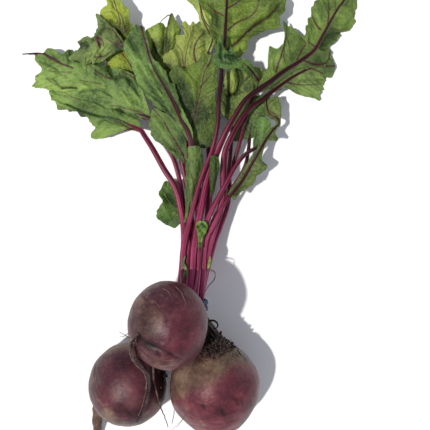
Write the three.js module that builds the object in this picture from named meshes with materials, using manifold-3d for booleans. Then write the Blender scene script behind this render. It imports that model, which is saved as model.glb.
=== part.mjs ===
// A bunch of three beetroots with their leafy tops, held by one blue tie, lying on a flat surface.
// Millimetres, +Z up. The roots lie at -Y, the leaves spread out towards +Y.
import * as THREE from 'three';
import { mergeVertices } from 'three/addons/utils/BufferGeometryUtils.js';
import Module from 'manifold-3d';

const wasm = await Module();
wasm.setup();

// ---------------------------------------------------------------- sizes

const GAP = 0.6;                 // clear space between a blade and its own rib
const CROWN_GAP = 1.9;           // a stalk starts this far off its crown
const BLADE_THICKNESS = 0.8;     // a leaf blade, thicker than life
const BLADE_BASE_HALF_WIDTH = 1.6;
const BLADE_TIP_HALF_WIDTH = 0.9;
const BLADE_MIN_HEIGHT = 0.5;    // middle of a blade that lies on the surface
const STALK_SIDES = 6;
const STALK_TIP_RADIUS = 0.5;
const TIED_RADIUS = 1.95;        // every stalk where the tie squeezes it

// The tie goes round the stalks here. Each stalk has a place in a grid of columns and rows.
const TIE = {
  centre: [-18.8, -68.3, 33],
  width: 9,
  thickness: 1.3,
  columnStep: 4.3,
  rowStep: 4.5,
  halfWidth: 11.6,
  halfHeight: 12.8,
  squareness: 2.7,
  segments: 24,
};

// Each root: a round body, a neck that ends in the crown, and a tap root that tapers away.
// "tailStretch" lengthens the half on the tail's side and "taper" slims it. A root that is "seated"
// rests on the surface and is flat there.
const ROOTS = {
  top: {
    centre: [-32.6, -76.8, 78], radius: 27.6, widen: [1, 1.12, 0.98], seated: false,
    crownAlong: [0.45, -0.21, -0.87], crownReach: 29, crownRadius: 8.5, tailStretch: 1, taper: 1,
    tail: [[-44, -80, 86], [-52, -83.5, 92], [-56, -88, 91], [-55, -96, 87], [-50, -106, 78],
      [-47, -115, 69], [-48, -127, 59], [-51, -138, 57], [-56, -151, 50], [-60, -160, 45]],
    tailRadii: [7, 4.2, 2.8, 2.3, 2.0, 1.8, 1.6, 1.4, 1.1, 0.6],
  },
  left: {
    centre: [-66, -128.5, 29.2], radius: 29.6, widen: [1, 1.08, 1], seated: true,
    crownAlong: [0.75, 0.64, 0.15], crownReach: 30, crownRadius: 9.5, tailStretch: 1, taper: 1,
    tail: [[-80, -141, 22], [-88, -149, 17], [-92, -159, 12], [-93.5, -170, 7], [-92, -181, 4],
      [-89, -189, 2.3]],
    tailRadii: [9, 4.5, 2.8, 2.3, 1.7, 0.8],
  },
  right: {
    centre: [-0.5, -129, 33.7], radius: 34.2, widen: [1, 1, 1], seated: true,
    crownAlong: [-0.08, 0.95, 0.22], crownReach: 37, crownRadius: 10.5, tailStretch: 1.2, taper: 1.45,
    tail: [[2.5, -158, 27], [4, -169, 21], [5, -177, 13], [7, -184, 7.5], [11, -190, 4.2],
      [18, -195, 2.4]],
    tailRadii: [9, 5.6, 3.6, 2.5, 1.7, 0.8],
  },
};

// One leaf each. The stalk leaves a root's crown at "slot" (across, up), passes the tie at "tie"
// (column, row) and goes on through "stalk" to the blade, where "rib" takes over up to the tip.
// "left" and "right" are the blade's margins, seen from above on the way to the tip.
// "ribOnTop" puts the rib above the blade, where the leaf shows its underside. "ruffle" and "waves"
// are the height and number of the waves along a margin, "bend" the stalk's way round to the tie.
const LEAVES = {
  low_left: {
    root: 'left', slot: [-3, 4.5], tie: [-2, 1], radii: [2.3, 1.9], ruffle: 1.2, waves: 3,
    stalk: [[-23.5, -19, 33], [-25, -1, 29], [-30.5, 21, 28], [-39, 35, 27], [-48, 51, 25], [-55, 62, 22]],
    rib: [[-57, 65, 21], [-73, 73, 14], [-91, 80, 9], [-107, 88, 7], [-120, 92, 5], [-130, 92, 4]],
    left: [[-64, 65, 17], [-78, 63, 11], [-92, 59, 7], [-97, 64, 5], [-101, 72, 3],
      [-106, 80, 1], [-119, 84, 1], [-128, 87, 2]],
    right: [[-58, 72, 17], [-75, 82, 10], [-91, 89, 7], [-107, 96, 5], [-120, 101, 4], [-131, 100, 4]],
  },
  far_left: {
    root: 'left', slot: [-3, 0], tie: [-2, 0], radii: [2.1, 1.7], ruffle: 1.0, waves: 4,
    stalk: [[-23.5, -19, 26.5], [-24, 0, 23], [-26, 19, 21], [-30, 37, 20], [-36, 52, 19], [-43, 63, 19],
      [-48, 72, 19]],
    rib: [[-50, 75, 19], [-66, 81, 18], [-86, 93, 15], [-101, 106, 13], [-112, 115, 12],
      [-123, 121, 11], [-136, 127, 10], [-152, 127, 8]],
    left: [[-60, 75, 17], [-76, 80, 14], [-97, 87, 12], [-114, 94, 11], [-130, 100, 10],
      [-140, 103, 9], [-141, 112, 8], [-141, 120, 8], [-146, 124, 8]],
    right: [[-51, 84, 20], [-58, 97, 19], [-66, 108, 17], [-77, 112, 15], [-92, 119, 12],
      [-105, 122, 10], [-113, 128, 9], [-120, 127, 10], [-126, 133, 9], [-136, 131, 10]],
  },
  dark_left: {
    root: 'left', slot: [3, 0], tie: [-1, -1], radii: [2.0, 1.4], ruffle: 1.0, waves: 3,
    stalk: [[-18, -20, 15], [-19, 0, 14], [-23, 27, 15], [-29, 55, 16], [-40, 80, 17], [-52, 101, 17],
      [-65, 122, 17]],
    rib: [[-69, 129, 18], [-78, 133, 19], [-86, 135, 19], [-95, 131, 18], [-105, 126, 16],
      [-114, 122, 14]],
    left: [[-74, 128, 17], [-83, 123, 16], [-90, 119, 15], [-101, 118, 14], [-109, 121, 13]],
    right: [[-71, 136, 20], [-78, 145, 21], [-85, 151, 21], [-91, 154, 19], [-90, 145, 19],
      [-95, 138, 18], [-101, 139, 17], [-106, 135, 16], [-105, 131, 15]],
  },
  pale_left: {
    root: 'left', slot: [3, -4.5], tie: [-1, -2], radii: [2.0, 1.5], ruffle: 1.0, waves: 4,
    stalk: [[-17, -20, 9], [-19, 2, 8], [-23, 28, 8], [-31, 55, 9], [-43, 81, 9], [-57, 104, 10]],
    rib: [[-62, 111, 10], [-68, 120, 10], [-73, 129, 11], [-74, 140, 14], [-74, 152, 18],
      [-78, 166, 20], [-83, 183, 20]],
    left: [[-72, 112, 6], [-82, 112, 6], [-85, 120, 7], [-88, 133, 10], [-90, 145, 13],
      [-90, 154, 16], [-86, 160, 18], [-83, 163, 19], [-86, 171, 19], [-88, 178, 19]],
    right: [[-60, 120, 11], [-62, 132, 13], [-66, 140, 15], [-64, 148, 17], [-67, 157, 19],
      [-73, 168, 20], [-77, 177, 19]],
  },
  long: {
    root: 'top', slot: [2.5, -4.5], tie: [-1, 1], radii: [2.2, 1.9], ruffle: 1.0, waves: 4,
    bend: [[-23.7, -81.9, 43], [-22.7, -77.9, 38.6]],
    stalk: [[-19, -19, 32.5], [-20, -1, 31.5], [-20, 19, 31], [-19, 38, 31.5], [-18, 50, 32]],
    rib: [[-18, 54, 32], [-21, 64, 32], [-26, 73, 31], [-33, 88, 30], [-40, 100, 29], [-46, 110, 28],
      [-50, 120, 28], [-53, 132, 27], [-57, 145, 25]],
    left: [[-24, 62, 31], [-34, 76, 28], [-44, 82, 26], [-52, 90, 25], [-59, 102, 24], [-63, 110, 23],
      [-68, 122, 23], [-70, 129, 23], [-67, 136, 24], [-64, 142, 25], [-61, 146, 25]],
    right: [[-17, 63, 31], [-23, 75, 30], [-28, 85, 29], [-32, 97, 28], [-38, 108, 27],
      [-45, 117, 27], [-49, 124, 27], [-51, 133, 27], [-54, 142, 26]],
  },
  small_left: {
    root: 'left', slot: [3, 4.5], tie: [-1, 0], radii: [2.0, 1.6], ruffle: 0.8, waves: 2,
    stalk: [[-18.5, -19, 27], [-20, -1, 26.5], [-21, 19, 26], [-21, 34, 26]],
    rib: [[-22, 40, 26], [-27, 50, 25], [-33, 61, 24], [-39, 72, 23], [-45, 79, 22], [-48, 82, 22]],
    left: [[-27, 42, 25], [-34, 48, 24], [-42, 54, 23], [-47, 61, 22], [-50, 70, 21], [-49, 79, 21]],
    right: [[-21, 48, 26], [-22, 58, 26], [-28, 68, 26], [-36, 77, 25], [-44, 82, 23]],
  },
  curled: {
    root: 'right', slot: [-4.5, -5.4], tie: [0, -2], radii: [2.0, 1.4], ruffle: 1.0, waves: 3,
    stalk: [[-13, -20, 6], [-14, 2, 5], [-17, 28, 5], [-21, 55, 6], [-25, 83, 7], [-32, 105, 8]],
    rib: [[-34, 110, 8], [-37, 121, 9], [-39, 131, 11], [-38, 142, 13], [-36, 151, 15], [-34, 158, 17]],
    left: [[-43, 118, 7], [-50, 124, 7], [-54, 135, 8], [-55, 143, 10], [-49, 147, 12],
      [-42, 150, 14], [-37, 151, 16]],
    right: [[-30, 118, 8], [-29, 130, 10], [-29, 139, 12], [-30, 147, 14], [-32, 154, 16]],
  },
  broad: {
    root: 'right', slot: [-4.5, 0], tie: [0, -1], radii: [2.0, 1.5], ruffle: 1.0, waves: 3,
    stalk: [[-11, -20, 12], [-12, 2, 11], [-13, 27, 11], [-15, 55, 12], [-18, 78, 13], [-19, 90, 14]],
    rib: [[-20, 96, 14], [-23, 109, 15], [-23, 120, 17], [-21, 132, 19], [-19, 141, 20],
      [-19, 149, 20]],
    left: [[-29, 104, 13], [-36, 111, 13], [-42, 120, 14], [-38, 125, 15], [-33, 129, 16],
      [-28, 137, 18], [-24, 143, 19], [-24, 149, 19]],
    right: [[-11, 104, 14], [-7, 117, 16], [-5, 130, 18], [-5, 141, 19], [-9, 146, 19], [-14, 149, 20]],
  },
  centre: {
    root: 'top', slot: [2.5, 0], tie: [0, 1], radii: [2.1, 1.6], ruffle: 1.0, waves: 3,
    bend: [[-19, -81.9, 44], [-18.2, -77.9, 38.6]],
    stalk: [[-14.5, -40, 30], [-13, -19, 24], [-13, 2, 22], [-14, 27, 22], [-16, 50, 23], [-17.5, 60, 23]],
    rib: [[-18, 65, 23], [-15, 81, 24], [-12, 92, 24], [-10, 100, 25], [-8, 109, 26], [-4, 117, 27],
      [-2, 122, 28]],
    left: [[-22, 70, 21], [-26, 80, 20], [-29, 89, 20], [-30, 101, 20], [-29, 111, 21],
      [-22, 113, 22], [-15, 118, 24], [-9, 123, 26]],
    right: [[-12, 58, 22], [-4, 67, 22], [1, 81, 22], [1, 96, 23], [2, 107, 25], [2, 117, 27]],
  },
  tall: {
    root: 'top', slot: [-2.5, -5.7], tie: [-1, 2], radii: [2.2, 2.0], ruffle: 1.2, waves: 5,
    ribOnTop: true, veinAngle: 85,
    bend: [[-25.2, -76.7, 43.8]],
    stalk: [[-24, -30, 43], [-20.5, -11, 40.5], [-16, 7, 38.9], [-12.4, 21, 38.1], [-7.5, 35, 37.4],
      [-2, 49, 35.8], [2, 67, 34], [3, 87, 33], [5, 107, 32]],
    rib: [[5, 116, 32], [7, 129, 31], [8, 144, 31], [9, 163, 30], [9, 181, 28], [8, 199, 24]],
    left: [[2, 124, 32], [-1, 134, 33.5], [-3, 146, 34.5], [-8, 156, 34], [-12, 169, 31], [-9, 184, 28],
      [-2, 194, 26]],
    right: [[11, 121, 27], [19, 121, 24], [25, 127, 23], [27, 135, 24], [34, 140, 26],
      [41, 142, 26], [49, 144, 25], [52, 151, 26], [54, 158, 26], [54, 169, 25], [48, 182, 24],
      [33, 195, 23], [19, 200, 23]],
  },
  slim_top: {
    root: 'right', slot: [0, 0], tie: [1, -1], radii: [2.0, 1.3], ruffle: 0.8, waves: 4,
    ribOnTop: true,
    stalk: [[-7, -19, 17], [-6, 2, 16], [-5, 27, 16], [-5, 54, 17], [-5, 81, 18], [-6, 104, 20],
      [-5.5, 119, 24]],
    rib: [[-5, 125, 26], [-2, 133, 28], [-2, 140, 28], [-7, 147, 27], [-10, 155, 26], [-12, 165, 25],
      [-15, 177, 23], [-19, 188, 20]],
    left: [[-8, 130, 25], [-8, 138, 26], [-12, 148, 25], [-14, 157, 24], [-20, 165, 23],
      [-24, 173, 22], [-24, 181, 21]],
    right: [[-1, 130, 28], [2, 139, 29], [0, 150, 28], [-3, 160, 27], [-6, 172, 25], [-12, 184, 22]],
  },
  twisted: {
    root: 'right', slot: [0, -5.4], tie: [1, -2], radii: [2.0, 1.3], ruffle: 0.6, waves: 2,
    stalk: [[0, -20, 14], [3, 2, 13], [9, 27, 11], [15, 42, 10], [19, 55, 14], [23, 72, 20.5],
      [29, 90, 21]],
    rib: [[34, 102, 22], [27, 111, 28], [20, 115, 35], [11, 114, 39], [4, 116, 40], [0, 121, 38]],
    left: [[25, 108, 26], [17, 111, 34], [10, 109, 38], [3, 111, 39], [-2, 116, 37]],
    right: [[30, 112, 28], [23, 118, 35], [16, 118, 39], [10, 119, 41], [5, 123, 41]],
  },
  crumpled: {
    root: 'right', slot: [5, -5.4], tie: [2, -1], radii: [2.0, 1.4], ruffle: 1.2, waves: 3,
    stalk: [[-1, -23, 22], [5, -7, 21], [10, 8, 20], [11, 19, 19], [11, 35, 18], [12, 47, 17],
      [13.5, 65, 14]],
    rib: [[14, 71, 13], [16, 84, 12], [22, 96, 12], [29, 106, 13], [37, 114, 13]],
    left: [[9, 78, 12], [9, 92, 12], [10, 104, 13], [13, 113, 14], [21, 114, 14], [30, 116, 13]],
    right: [[24, 81, 10], [32, 92, 10], [38, 101, 10], [42, 111, 12]],
  },
  big_right: {
    root: 'top', slot: [-2.5, 0], tie: [0, 2], radii: [2.7, 2.3], ruffle: 1.2, waves: 5,
    ribOnTop: true,
    bend: [[-19.7, -76.7, 44.6]],
    stalk: [[-17, -40, 42.3], [-16, -26, 41], [-13, -8, 38], [-10, 8, 35.5], [-7, 23, 34],
      [-2.3, 38, 33], [2.8, 50.5, 32.5], [8, 62, 33], [14.5, 74, 33], [23, 87, 33], [31, 93.5, 32]],
    rib: [[33, 95, 32], [43, 102, 31], [53, 110, 28], [65, 118, 24], [77, 128, 19], [84, 140, 15],
      [90, 151, 12], [97, 163, 9], [104, 173, 7], [110, 186, 5]],
    left: [[36, 104, 31], [41, 113, 29], [42, 121, 28], [43, 130, 27], [49, 127, 27],
      [54, 134, 25], [54, 142, 24], [54, 151, 23], [62, 143, 22], [69, 140, 20],
      [73, 147, 18], [75, 157, 15], [79, 164, 13], [86, 173, 11], [94, 181, 9], [104, 188, 6]],
    right: [[40, 95, 29], [51, 103, 26], [64, 113, 22], [75, 115, 18], [88, 118, 14], [91, 126, 12],
      [92, 134, 10], [101, 143, 7], [102, 146, 6], [107, 147, 5], [111, 154, 3], [114, 167, 1],
      [116, 180, 1]],
  },
  low_right: {
    root: 'right', slot: [4.5, 0], tie: [2, 0], radii: [2.7, 1.9], ruffle: 1.2, waves: 4,
    ribOnTop: true,
    stalk: [[-7.3, -40, 33], [-5, -26.5, 32], [-1, -11.5, 31], [2.7, 0, 30.5], [5, 8, 30],
      [6.5, 19, 29.5], [6.5, 33, 29], [7.5, 47, 28.5], [12, 59, 28], [20, 73, 27], [28, 83, 26],
      [36, 88.5, 25]],
    rib: [[38, 90, 25], [47, 97, 23], [56, 104, 20], [67, 111, 16], [78, 116, 12], [87, 117, 9],
      [95, 118, 7]],
    left: [[47, 101, 22], [58, 110, 18], [70, 118, 13], [83, 125, 9], [92, 127, 7]],
    right: [[41, 90, 23], [49, 96, 21], [59, 98, 18], [66, 94, 15], [71, 94, 12], [84, 92, 6],
      [89, 94, 3], [89, 100, 3], [90, 106, 3], [93, 110, 4], [95, 114, 5]],
  },
  pointed: {
    root: 'top', slot: [-2.5, 5.2], tie: [1, 2], radii: [2.1, 1.6], ruffle: 0.5, waves: 1,
    bend: [[-15, -76.7, 45.4]],
    stalk: [[-12.4, -40, 40.3], [-11.6, -27, 39], [-9.3, -14, 38.8], [-5, -2, 37.3], [3, 14, 35],
      [9, 25, 34], [15, 36, 32], [23, 46, 29], [29, 50, 27]],
    rib: [[31, 51, 26], [33, 57, 26], [35, 65, 26], [37, 75, 25]],
    left: [[29, 56, 25], [30, 62, 25], [31, 68, 25], [33, 74, 24]],
    right: [[35, 52, 25], [39, 59, 25], [43, 65, 25], [42, 73, 24]],
  },
  hooked: {
    root: 'right', slot: [4.5, 5.4], tie: [2, 1], radii: [2.1, 1.5], ruffle: 0.8, waves: 5,
    veinAngle: 80,
    stalk: [[-8.8, -40, 37], [-8.3, -28, 36.3], [-6.3, -17, 36.6], [-1, -7, 37.3], [4, 3, 37],
      [10, 12.5, 36]],
    rib: [[11, 14, 36], [20, 25, 33], [27, 37, 31], [34, 49, 30], [40, 59, 29], [44, 64.5, 28],
      [48.5, 69, 26], [48.8, 72.5, 25], [41.5, 78.5, 22], [40, 84, 20], [40, 90, 18]],
    left: [[9, 15, 34], [17, 27, 31], [24, 39, 29], [30, 48, 29], [37, 59, 28], [42, 65.5, 27],
      [46.5, 69.5, 26], [46.5, 71.5, 25], [40, 76.5, 22], [38.3, 84, 20]],
    right: [[14, 11, 34], [19, 16, 33], [24, 19, 32], [30, 24, 30], [33, 30, 29], [37, 33, 28],
      [40, 37, 28], [36, 43, 28], [37, 50, 28], [40, 56, 28], [47, 57, 27], [46, 63, 27],
      [50, 69, 26], [50.5, 73, 25], [51, 79, 23], [51, 85, 21], [48, 91, 19]],
  },
  hidden_right: {
    root: 'right', slot: [0, 5.4], tie: [1, 0], radii: [2.0, 1.5], ruffle: 0.8, waves: 2,
    stalk: [[-10.8, -48, 29.5], [-9, -38, 27], [-5, -19, 26], [0, -2, 25], [7, 9, 24.5], [12, 19, 23.5],
      [19, 29, 21], [24, 40, 18], [26.5, 54, 14.5]],
    rib: [[27, 60, 14], [28, 69, 14], [31, 79, 14], [37, 88, 14], [41, 94, 13]],
    left: [[23, 63, 12], [22, 73, 12], [24, 82, 12], [30, 91, 12]],
    right: [[32, 62, 12], [38, 69, 12], [41, 80, 12], [44, 89, 11]],
  },
  strip: {
    root: 'top', slot: [-7, -3], tie: [-0.5, 2.6], radii: [1.0, 1.0], ruffle: 0.5, waves: 3,
    tiedRadius: 0.9,
    bend: [[-20.3, -74.4, 46.5]],
    stalk: [[-20.6, -40, 44], [-20.4, -31, 42], [-19.6, -20, 39.2], [-20.8, -14, 36.6],
      [-22.3, -9, 35.4]],
    rib: [[-22, -6, 35.2], [-20.5, 2, 35.2], [-18.8, 11, 35.2], [-17, 22, 35.2], [-16, 35, 35.5],
      [-15, 43, 36], [-14.3, 52, 36.5]],
    left: [[-22.6, 0, 35], [-22.5, 11, 34], [-22.5, 26, 33], [-22.5, 37, 33], [-20.3, 45, 34],
      [-20.3, 51, 35]],
    right: [[-19.5, 0, 34.2], [-16, 11, 33], [-12, 22, 32], [-9, 33, 31.5], [-9.8, 43, 33],
      [-11.3, 51, 34]],
  },
  sliver: {
    root: 'top', slot: [2.5, 4.5], tie: [1, 1], radii: [1.3, 0.9], ruffle: 0.4, waves: 2,
    tiedRadius: 1.4,
    bend: [[-14.4, -81.7, 45], [-13.8, -77.9, 39.2]],
    stalk: [[-11.5, -28, 34.3], [-8, -10, 33], [-4.5, 0, 32.5], [-3.2, 9, 34]],
    rib: [[-2.6, 15, 35.5], [-1.9, 23, 36.5], [-1, 32, 37.5], [-0.4, 39, 38], [-0.8, 45, 38]],
    left: [[-3.8, 17, 36], [-4.2, 26, 36], [-4, 39, 37], [-3, 44.5, 37.5]],
    right: [[-0.8, 17, 35], [1, 26, 35.5], [3.4, 37, 36], [3, 42, 37]],
  },
  bud: {
    root: 'top', slot: [-7, 3], tie: [0.5, 2.6], radii: [0.8, 0.8], ruffle: 0.6, waves: 2,
    tiedRadius: 0.8,
    bend: [[-15.9, -74.4, 46.5]],
    stalk: [[-13.2, -45, 44.6], [-11.6, -30, 43.7]],
    rib: [[-11.3, -25, 43.4], [-11, -18, 43.4], [-10.5, -11, 43.2], [-10, -4.5, 42]],
    left: [[-12.6, -18.5, 42], [-13.4, -13, 42], [-14, -8, 42], [-12.5, -5, 42]],
    right: [[-9.4, -18.5, 42], [-6.7, -13, 42], [-5.4, -8, 42], [-7, -5, 42]],
  },
  round_left: {
    root: 'left', slot: [-3, -4.5], tie: [-2, -1], radii: [2.0, 1.5], ruffle: 0.8, waves: 2,
    stalk: [[-22.5, -23, 21.5], [-22.5, -10, 18.5], [-23.5, -2, 16.5]],
    rib: [[-24, 0, 16], [-30, 5, 15], [-37, 12, 14], [-43, 19, 14]],
    left: [[-26, -5, 15], [-31, -10, 14], [-35, -9, 13], [-40, -7, 13], [-44, 2, 14], [-42, 10, 15],
      [-44, 16, 15]],
    right: [[-26, 11, 14], [-28, 19, 12], [-33, 25, 12], [-39, 26, 13]],
  },
};

// ---------------------------------------------------------------- helpers

const UP = new THREE.Vector3(0, 0, 1);
const vector = ([x, y, z]) => new THREE.Vector3(x, y, z);
const smoothCurve = (points) => new THREE.CatmullRomCurve3(points, false, 'centripetal');

// A triangle mesh from shared vertices. Its faces point out whichever way they were listed.
function closedGeometry(points, triangles) {
  let volume = 0;
  for (const [a, b, c] of triangles) {
    volume += points[a].dot(points[b].clone().cross(points[c]));
  }
  const outward = volume > 0 ? triangles : triangles.map(([a, b, c]) => [a, c, b]);
  const geometry = new THREE.BufferGeometry();
  geometry.setFromPoints(points);
  geometry.setIndex(outward.flat());
  return geometry;
}

function toSolid(geometry) {
  const bare = geometry.clone();
  bare.deleteAttribute('normal');
  bare.deleteAttribute('uv');
  const merged = mergeVertices(bare, 1e-3);
  const vertProperties = new Float32Array(merged.attributes.position.array);
  const triVerts = new Uint32Array(merged.index.array);
  return new wasm.Manifold(new wasm.Mesh({ numProp: 3, vertProperties, triVerts }));
}

function toGeometry(solid) {
  const mesh = solid.getMesh();
  const geometry = new THREE.BufferGeometry();
  geometry.setAttribute('position', new THREE.BufferAttribute(mesh.vertProperties, 3));
  geometry.setIndex(new THREE.BufferAttribute(mesh.triVerts, 1));
  return geometry;
}

// A closed tube through the points, with its own radius at each of them.
function taperedTube(points, radii, sides) {
  const vertices = [];
  const triangles = [];
  const across = new THREE.Vector3();
  points.forEach((point, i) => {
    const ahead = points[Math.min(i + 1, points.length - 1)].clone();
    const tangent = ahead.sub(points[Math.max(i - 1, 0)]).normalize();
    if (i === 0) {
      const aside = Math.abs(tangent.z) < 0.9 ? UP : new THREE.Vector3(1, 0, 0);
      across.crossVectors(tangent, aside).normalize();
    }
    across.addScaledVector(tangent, -across.dot(tangent)).normalize();
    const other = new THREE.Vector3().crossVectors(tangent, across);
    for (let side = 0; side < sides; side += 1) {
      const angle = (2 * Math.PI * side) / sides;
      vertices.push(point.clone()
        .addScaledVector(across, radii[i] * Math.cos(angle))
        .addScaledVector(other, radii[i] * Math.sin(angle)));
    }
  });
  for (let i = 0; i + 1 < points.length; i += 1) {
    for (let side = 0; side < sides; side += 1) {
      const next = (side + 1) % sides;
      const [a, b] = [i * sides + side, i * sides + next];
      const [c, d] = [a + sides, b + sides];
      triangles.push([a, b, c], [b, d, c]);
    }
  }
  const last = (points.length - 1) * sides;
  for (let side = 1; side + 1 < sides; side += 1) {
    triangles.push([0, side + 1, side], [last, last + side, last + side + 1]);
  }
  return closedGeometry(vertices, triangles);
}

// ---------------------------------------------------------------- roots

const ROOT_SIDES = 22;
const ROOT_RINGS = 11;
const ROOT_TAIL_SIDES = 7;
const NECK_ANGLE = 0.86 * Math.PI;   // from the foot of the body round to where the neck starts
const BELOW = { width: 400, depth: 20 };

// Where a root's crown ends, and the directions along, across and up from there.
function crownFrame(root) {
  const along = vector(root.crownAlong).normalize();
  const across = along.clone().cross(UP).normalize();
  const up = across.clone().cross(along);
  const end = along.clone().multiplyScalar(root.crownReach).multiply(vector(root.widen));
  end.add(vector(root.centre));
  return { along, across, up, end };
}

// The profile runs from the foot of the body, round its belly, up the neck to the crown's end.
function rootBody(root) {
  const { along, across, up } = crownFrame(root);
  const profile = [];
  for (let ring = 0; ring <= ROOT_RINGS; ring += 1) {
    const angle = NECK_ANGLE * (ring / ROOT_RINGS);
    const towardsTail = angle < Math.PI / 2;
    const breadth = root.radius * Math.sin(angle) ** (towardsTail ? root.taper : 1);
    const height = -root.radius * (towardsTail ? root.tailStretch : 1) * Math.cos(angle);
    profile.push(new THREE.Vector2(breadth, height));
  }
  profile.push(new THREE.Vector2(root.crownRadius, root.crownReach));
  profile.push(new THREE.Vector2(0, root.crownReach));
  const body = new THREE.LatheGeometry(profile, ROOT_SIDES);
  body.applyMatrix4(new THREE.Matrix4().makeBasis(across, along, up));
  return body.scale(...root.widen).translate(...root.centre);
}

function rootGeometry(root) {
  const tail = taperedTube(root.tail.map(vector), root.tailRadii, ROOT_TAIL_SIDES);
  let solid = toSolid(rootBody(root)).add(toSolid(tail));
  if (root.seated) {
    const below = new THREE.BoxGeometry(BELOW.width, BELOW.width, BELOW.depth);
    below.translate(root.centre[0], root.centre[1], -BELOW.depth / 2);
    solid = solid.subtract(toSolid(below));
  }
  return toGeometry(solid);
}

// ---------------------------------------------------------------- tie

// Two turns of a flat band side by side: the section has a shallow groove between them.
function tieGeometry() {
  const { centre, width, thickness, halfWidth, halfHeight, squareness, segments } = TIE;
  const groove = thickness * 0.55;
  const section = [
    [-width / 2, 0], [width / 2, 0], [width / 2, groove], [width / 4, thickness],
    [0, groove], [-width / 4, thickness], [-width / 2, groove],
  ];
  const vertices = [];
  const triangles = [];
  const rounded = (value) => Math.sign(value) * Math.abs(value) ** (2 / squareness);
  for (let i = 0; i < segments; i += 1) {
    const angle = (2 * Math.PI * i) / segments;
    const [c, s] = [rounded(Math.cos(angle)), rounded(Math.sin(angle))];
    const out = new THREE.Vector2(c / halfWidth, s / halfHeight).normalize();
    for (const [along, rise] of section) {
      vertices.push(new THREE.Vector3(
        centre[0] + halfWidth * c + rise * out.x,
        centre[1] + along,
        centre[2] + halfHeight * s + rise * out.y,
      ));
    }
  }
  const count = section.length;
  for (let i = 0; i < segments; i += 1) {
    for (let k = 0; k < count; k += 1) {
      const [a, b] = [i * count + k, i * count + ((k + 1) % count)];
      const ahead = ((i + 1) % segments) * count;
      const [c, d] = [ahead + k, ahead + ((k + 1) % count)];
      triangles.push([a, b, c], [b, d, c]);
    }
  }
  return closedGeometry(vertices, triangles);
}

// ---------------------------------------------------------------- leaves

const STALK_STEP = 14;            // longest stretch of a stalk without a bend
const SWELL_LENGTH = 35;          // over this length past the tie a stalk comes to its full girth
const BLADE_MAX_ROW_STEP = 0.14;  // as shares of the rib's length
const BLADE_MIN_ROW_STEP = 0.03;
const BLADE_COLUMNS = 2;
const VEIN_ANGLE = 60;            // degrees between the rib and its side veins
const RIB_ROOM = 1.1;             // times the rib's radius
const RIGHT_WAVE_PHASE = 2;       // the two margins don't ruffle in step

// The stalk's way from its crown, through the tie, to the foot of the blade.
function stalkPath(leaf) {
  const crown = crownFrame(ROOTS[leaf.root]);
  const start = crown.end.clone()
    .addScaledVector(crown.along, CROWN_GAP)
    .addScaledVector(crown.across, leaf.slot[0])
    .addScaledVector(crown.up, leaf.slot[1]);
  const inTie = (y) => new THREE.Vector3(
    TIE.centre[0] + leaf.tie[0] * TIE.columnStep,
    TIE.centre[1] + y,
    TIE.centre[2] + leaf.tie[1] * TIE.rowStep,
  );
  return [start, ...(leaf.bend ?? []).map(vector), inTie(-TIE.width / 2), inTie(TIE.width / 2),
    ...leaf.stalk.map(vector)];
}

// Radius of the rib at u, from 0 at the foot of the blade to 1 at the tip.
function ribRadius(leaf, u) {
  return THREE.MathUtils.lerp(leaf.radii[1], STALK_TIP_RADIUS, u);
}

function stalkGeometry(leaf) {
  const way = stalkPath(leaf);
  const curve = smoothCurve([...way, ...leaf.rib.map(vector)]);
  const spans = way.length + leaf.rib.length - 1;
  const footAt = way.length / spans;
  const points = [];
  const radii = [];
  for (let span = 0; span < spans; span += 1) {
    const from = curve.getPoint(span / spans);
    const to = curve.getPoint((span + 1) / spans);
    const steps = Math.ceil(from.distanceTo(to) / STALK_STEP);
    for (let step = 0; step < steps; step += 1) {
      const t = (span + step / steps) / spans;
      const point = curve.getPoint(t);
      points.push(point);
      radii.push(stalkRadius(leaf, t, footAt, point.y));
    }
  }
  points.push(curve.getPoint(1));
  radii.push(STALK_TIP_RADIUS);
  return taperedTube(points, radii, STALK_SIDES);
}

// Thin in the tie, full past it, then slimmer to the blade and along the rib.
function stalkRadius(leaf, t, footAt, y) {
  if (t >= footAt) {
    return ribRadius(leaf, (t - footAt) / (1 - footAt));
  }
  const tieEnd = TIE.centre[1] + TIE.width / 2;
  const swelling = THREE.MathUtils.smoothstep(y, tieEnd, tieEnd + SWELL_LENGTH);
  const slimming = THREE.MathUtils.smoothstep(t, footAt * 0.5, footAt);
  const full = THREE.MathUtils.lerp(leaf.radii[0], leaf.radii[1], slimming);
  return THREE.MathUtils.lerp(leaf.tiedRadius ?? TIED_RADIUS, full, swelling);
}

// Where each point of a margin belongs along the rib: where the side vein that ends there sets off.
// The stations always move on. Where the margin doubles back, its points meet half way.
function marginStations(leaf, points, ribCurve) {
  const slope = 1 / Math.tan(THREE.MathUtils.degToRad(leaf.veinAngle ?? VEIN_ANGLE));
  const samples = Array.from({ length: 101 }, (_, i) => i / 100);
  const origins = points.map((point) => {
    const misses = samples.map((u) => {
      const tangent = ribCurve.getTangent(u);
      const offset = point.clone().sub(ribCurve.getPoint(u));
      const along = offset.dot(tangent);
      return Math.abs(along - slope * offset.addScaledVector(tangent, -along).length());
    });
    return samples[misses.indexOf(Math.min(...misses))];
  });
  let last = 0;
  return origins.map((_, k) => {
    const furthestBefore = Math.max(...origins.slice(0, k + 1));
    const leastAfter = Math.min(...origins.slice(k));
    const room = 1 - BLADE_MIN_ROW_STEP * (points.length - k);
    last = Math.min(Math.max((furthestBefore + leastAfter) / 2, last + BLADE_MIN_ROW_STEP), room);
    return last;
  });
}

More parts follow.
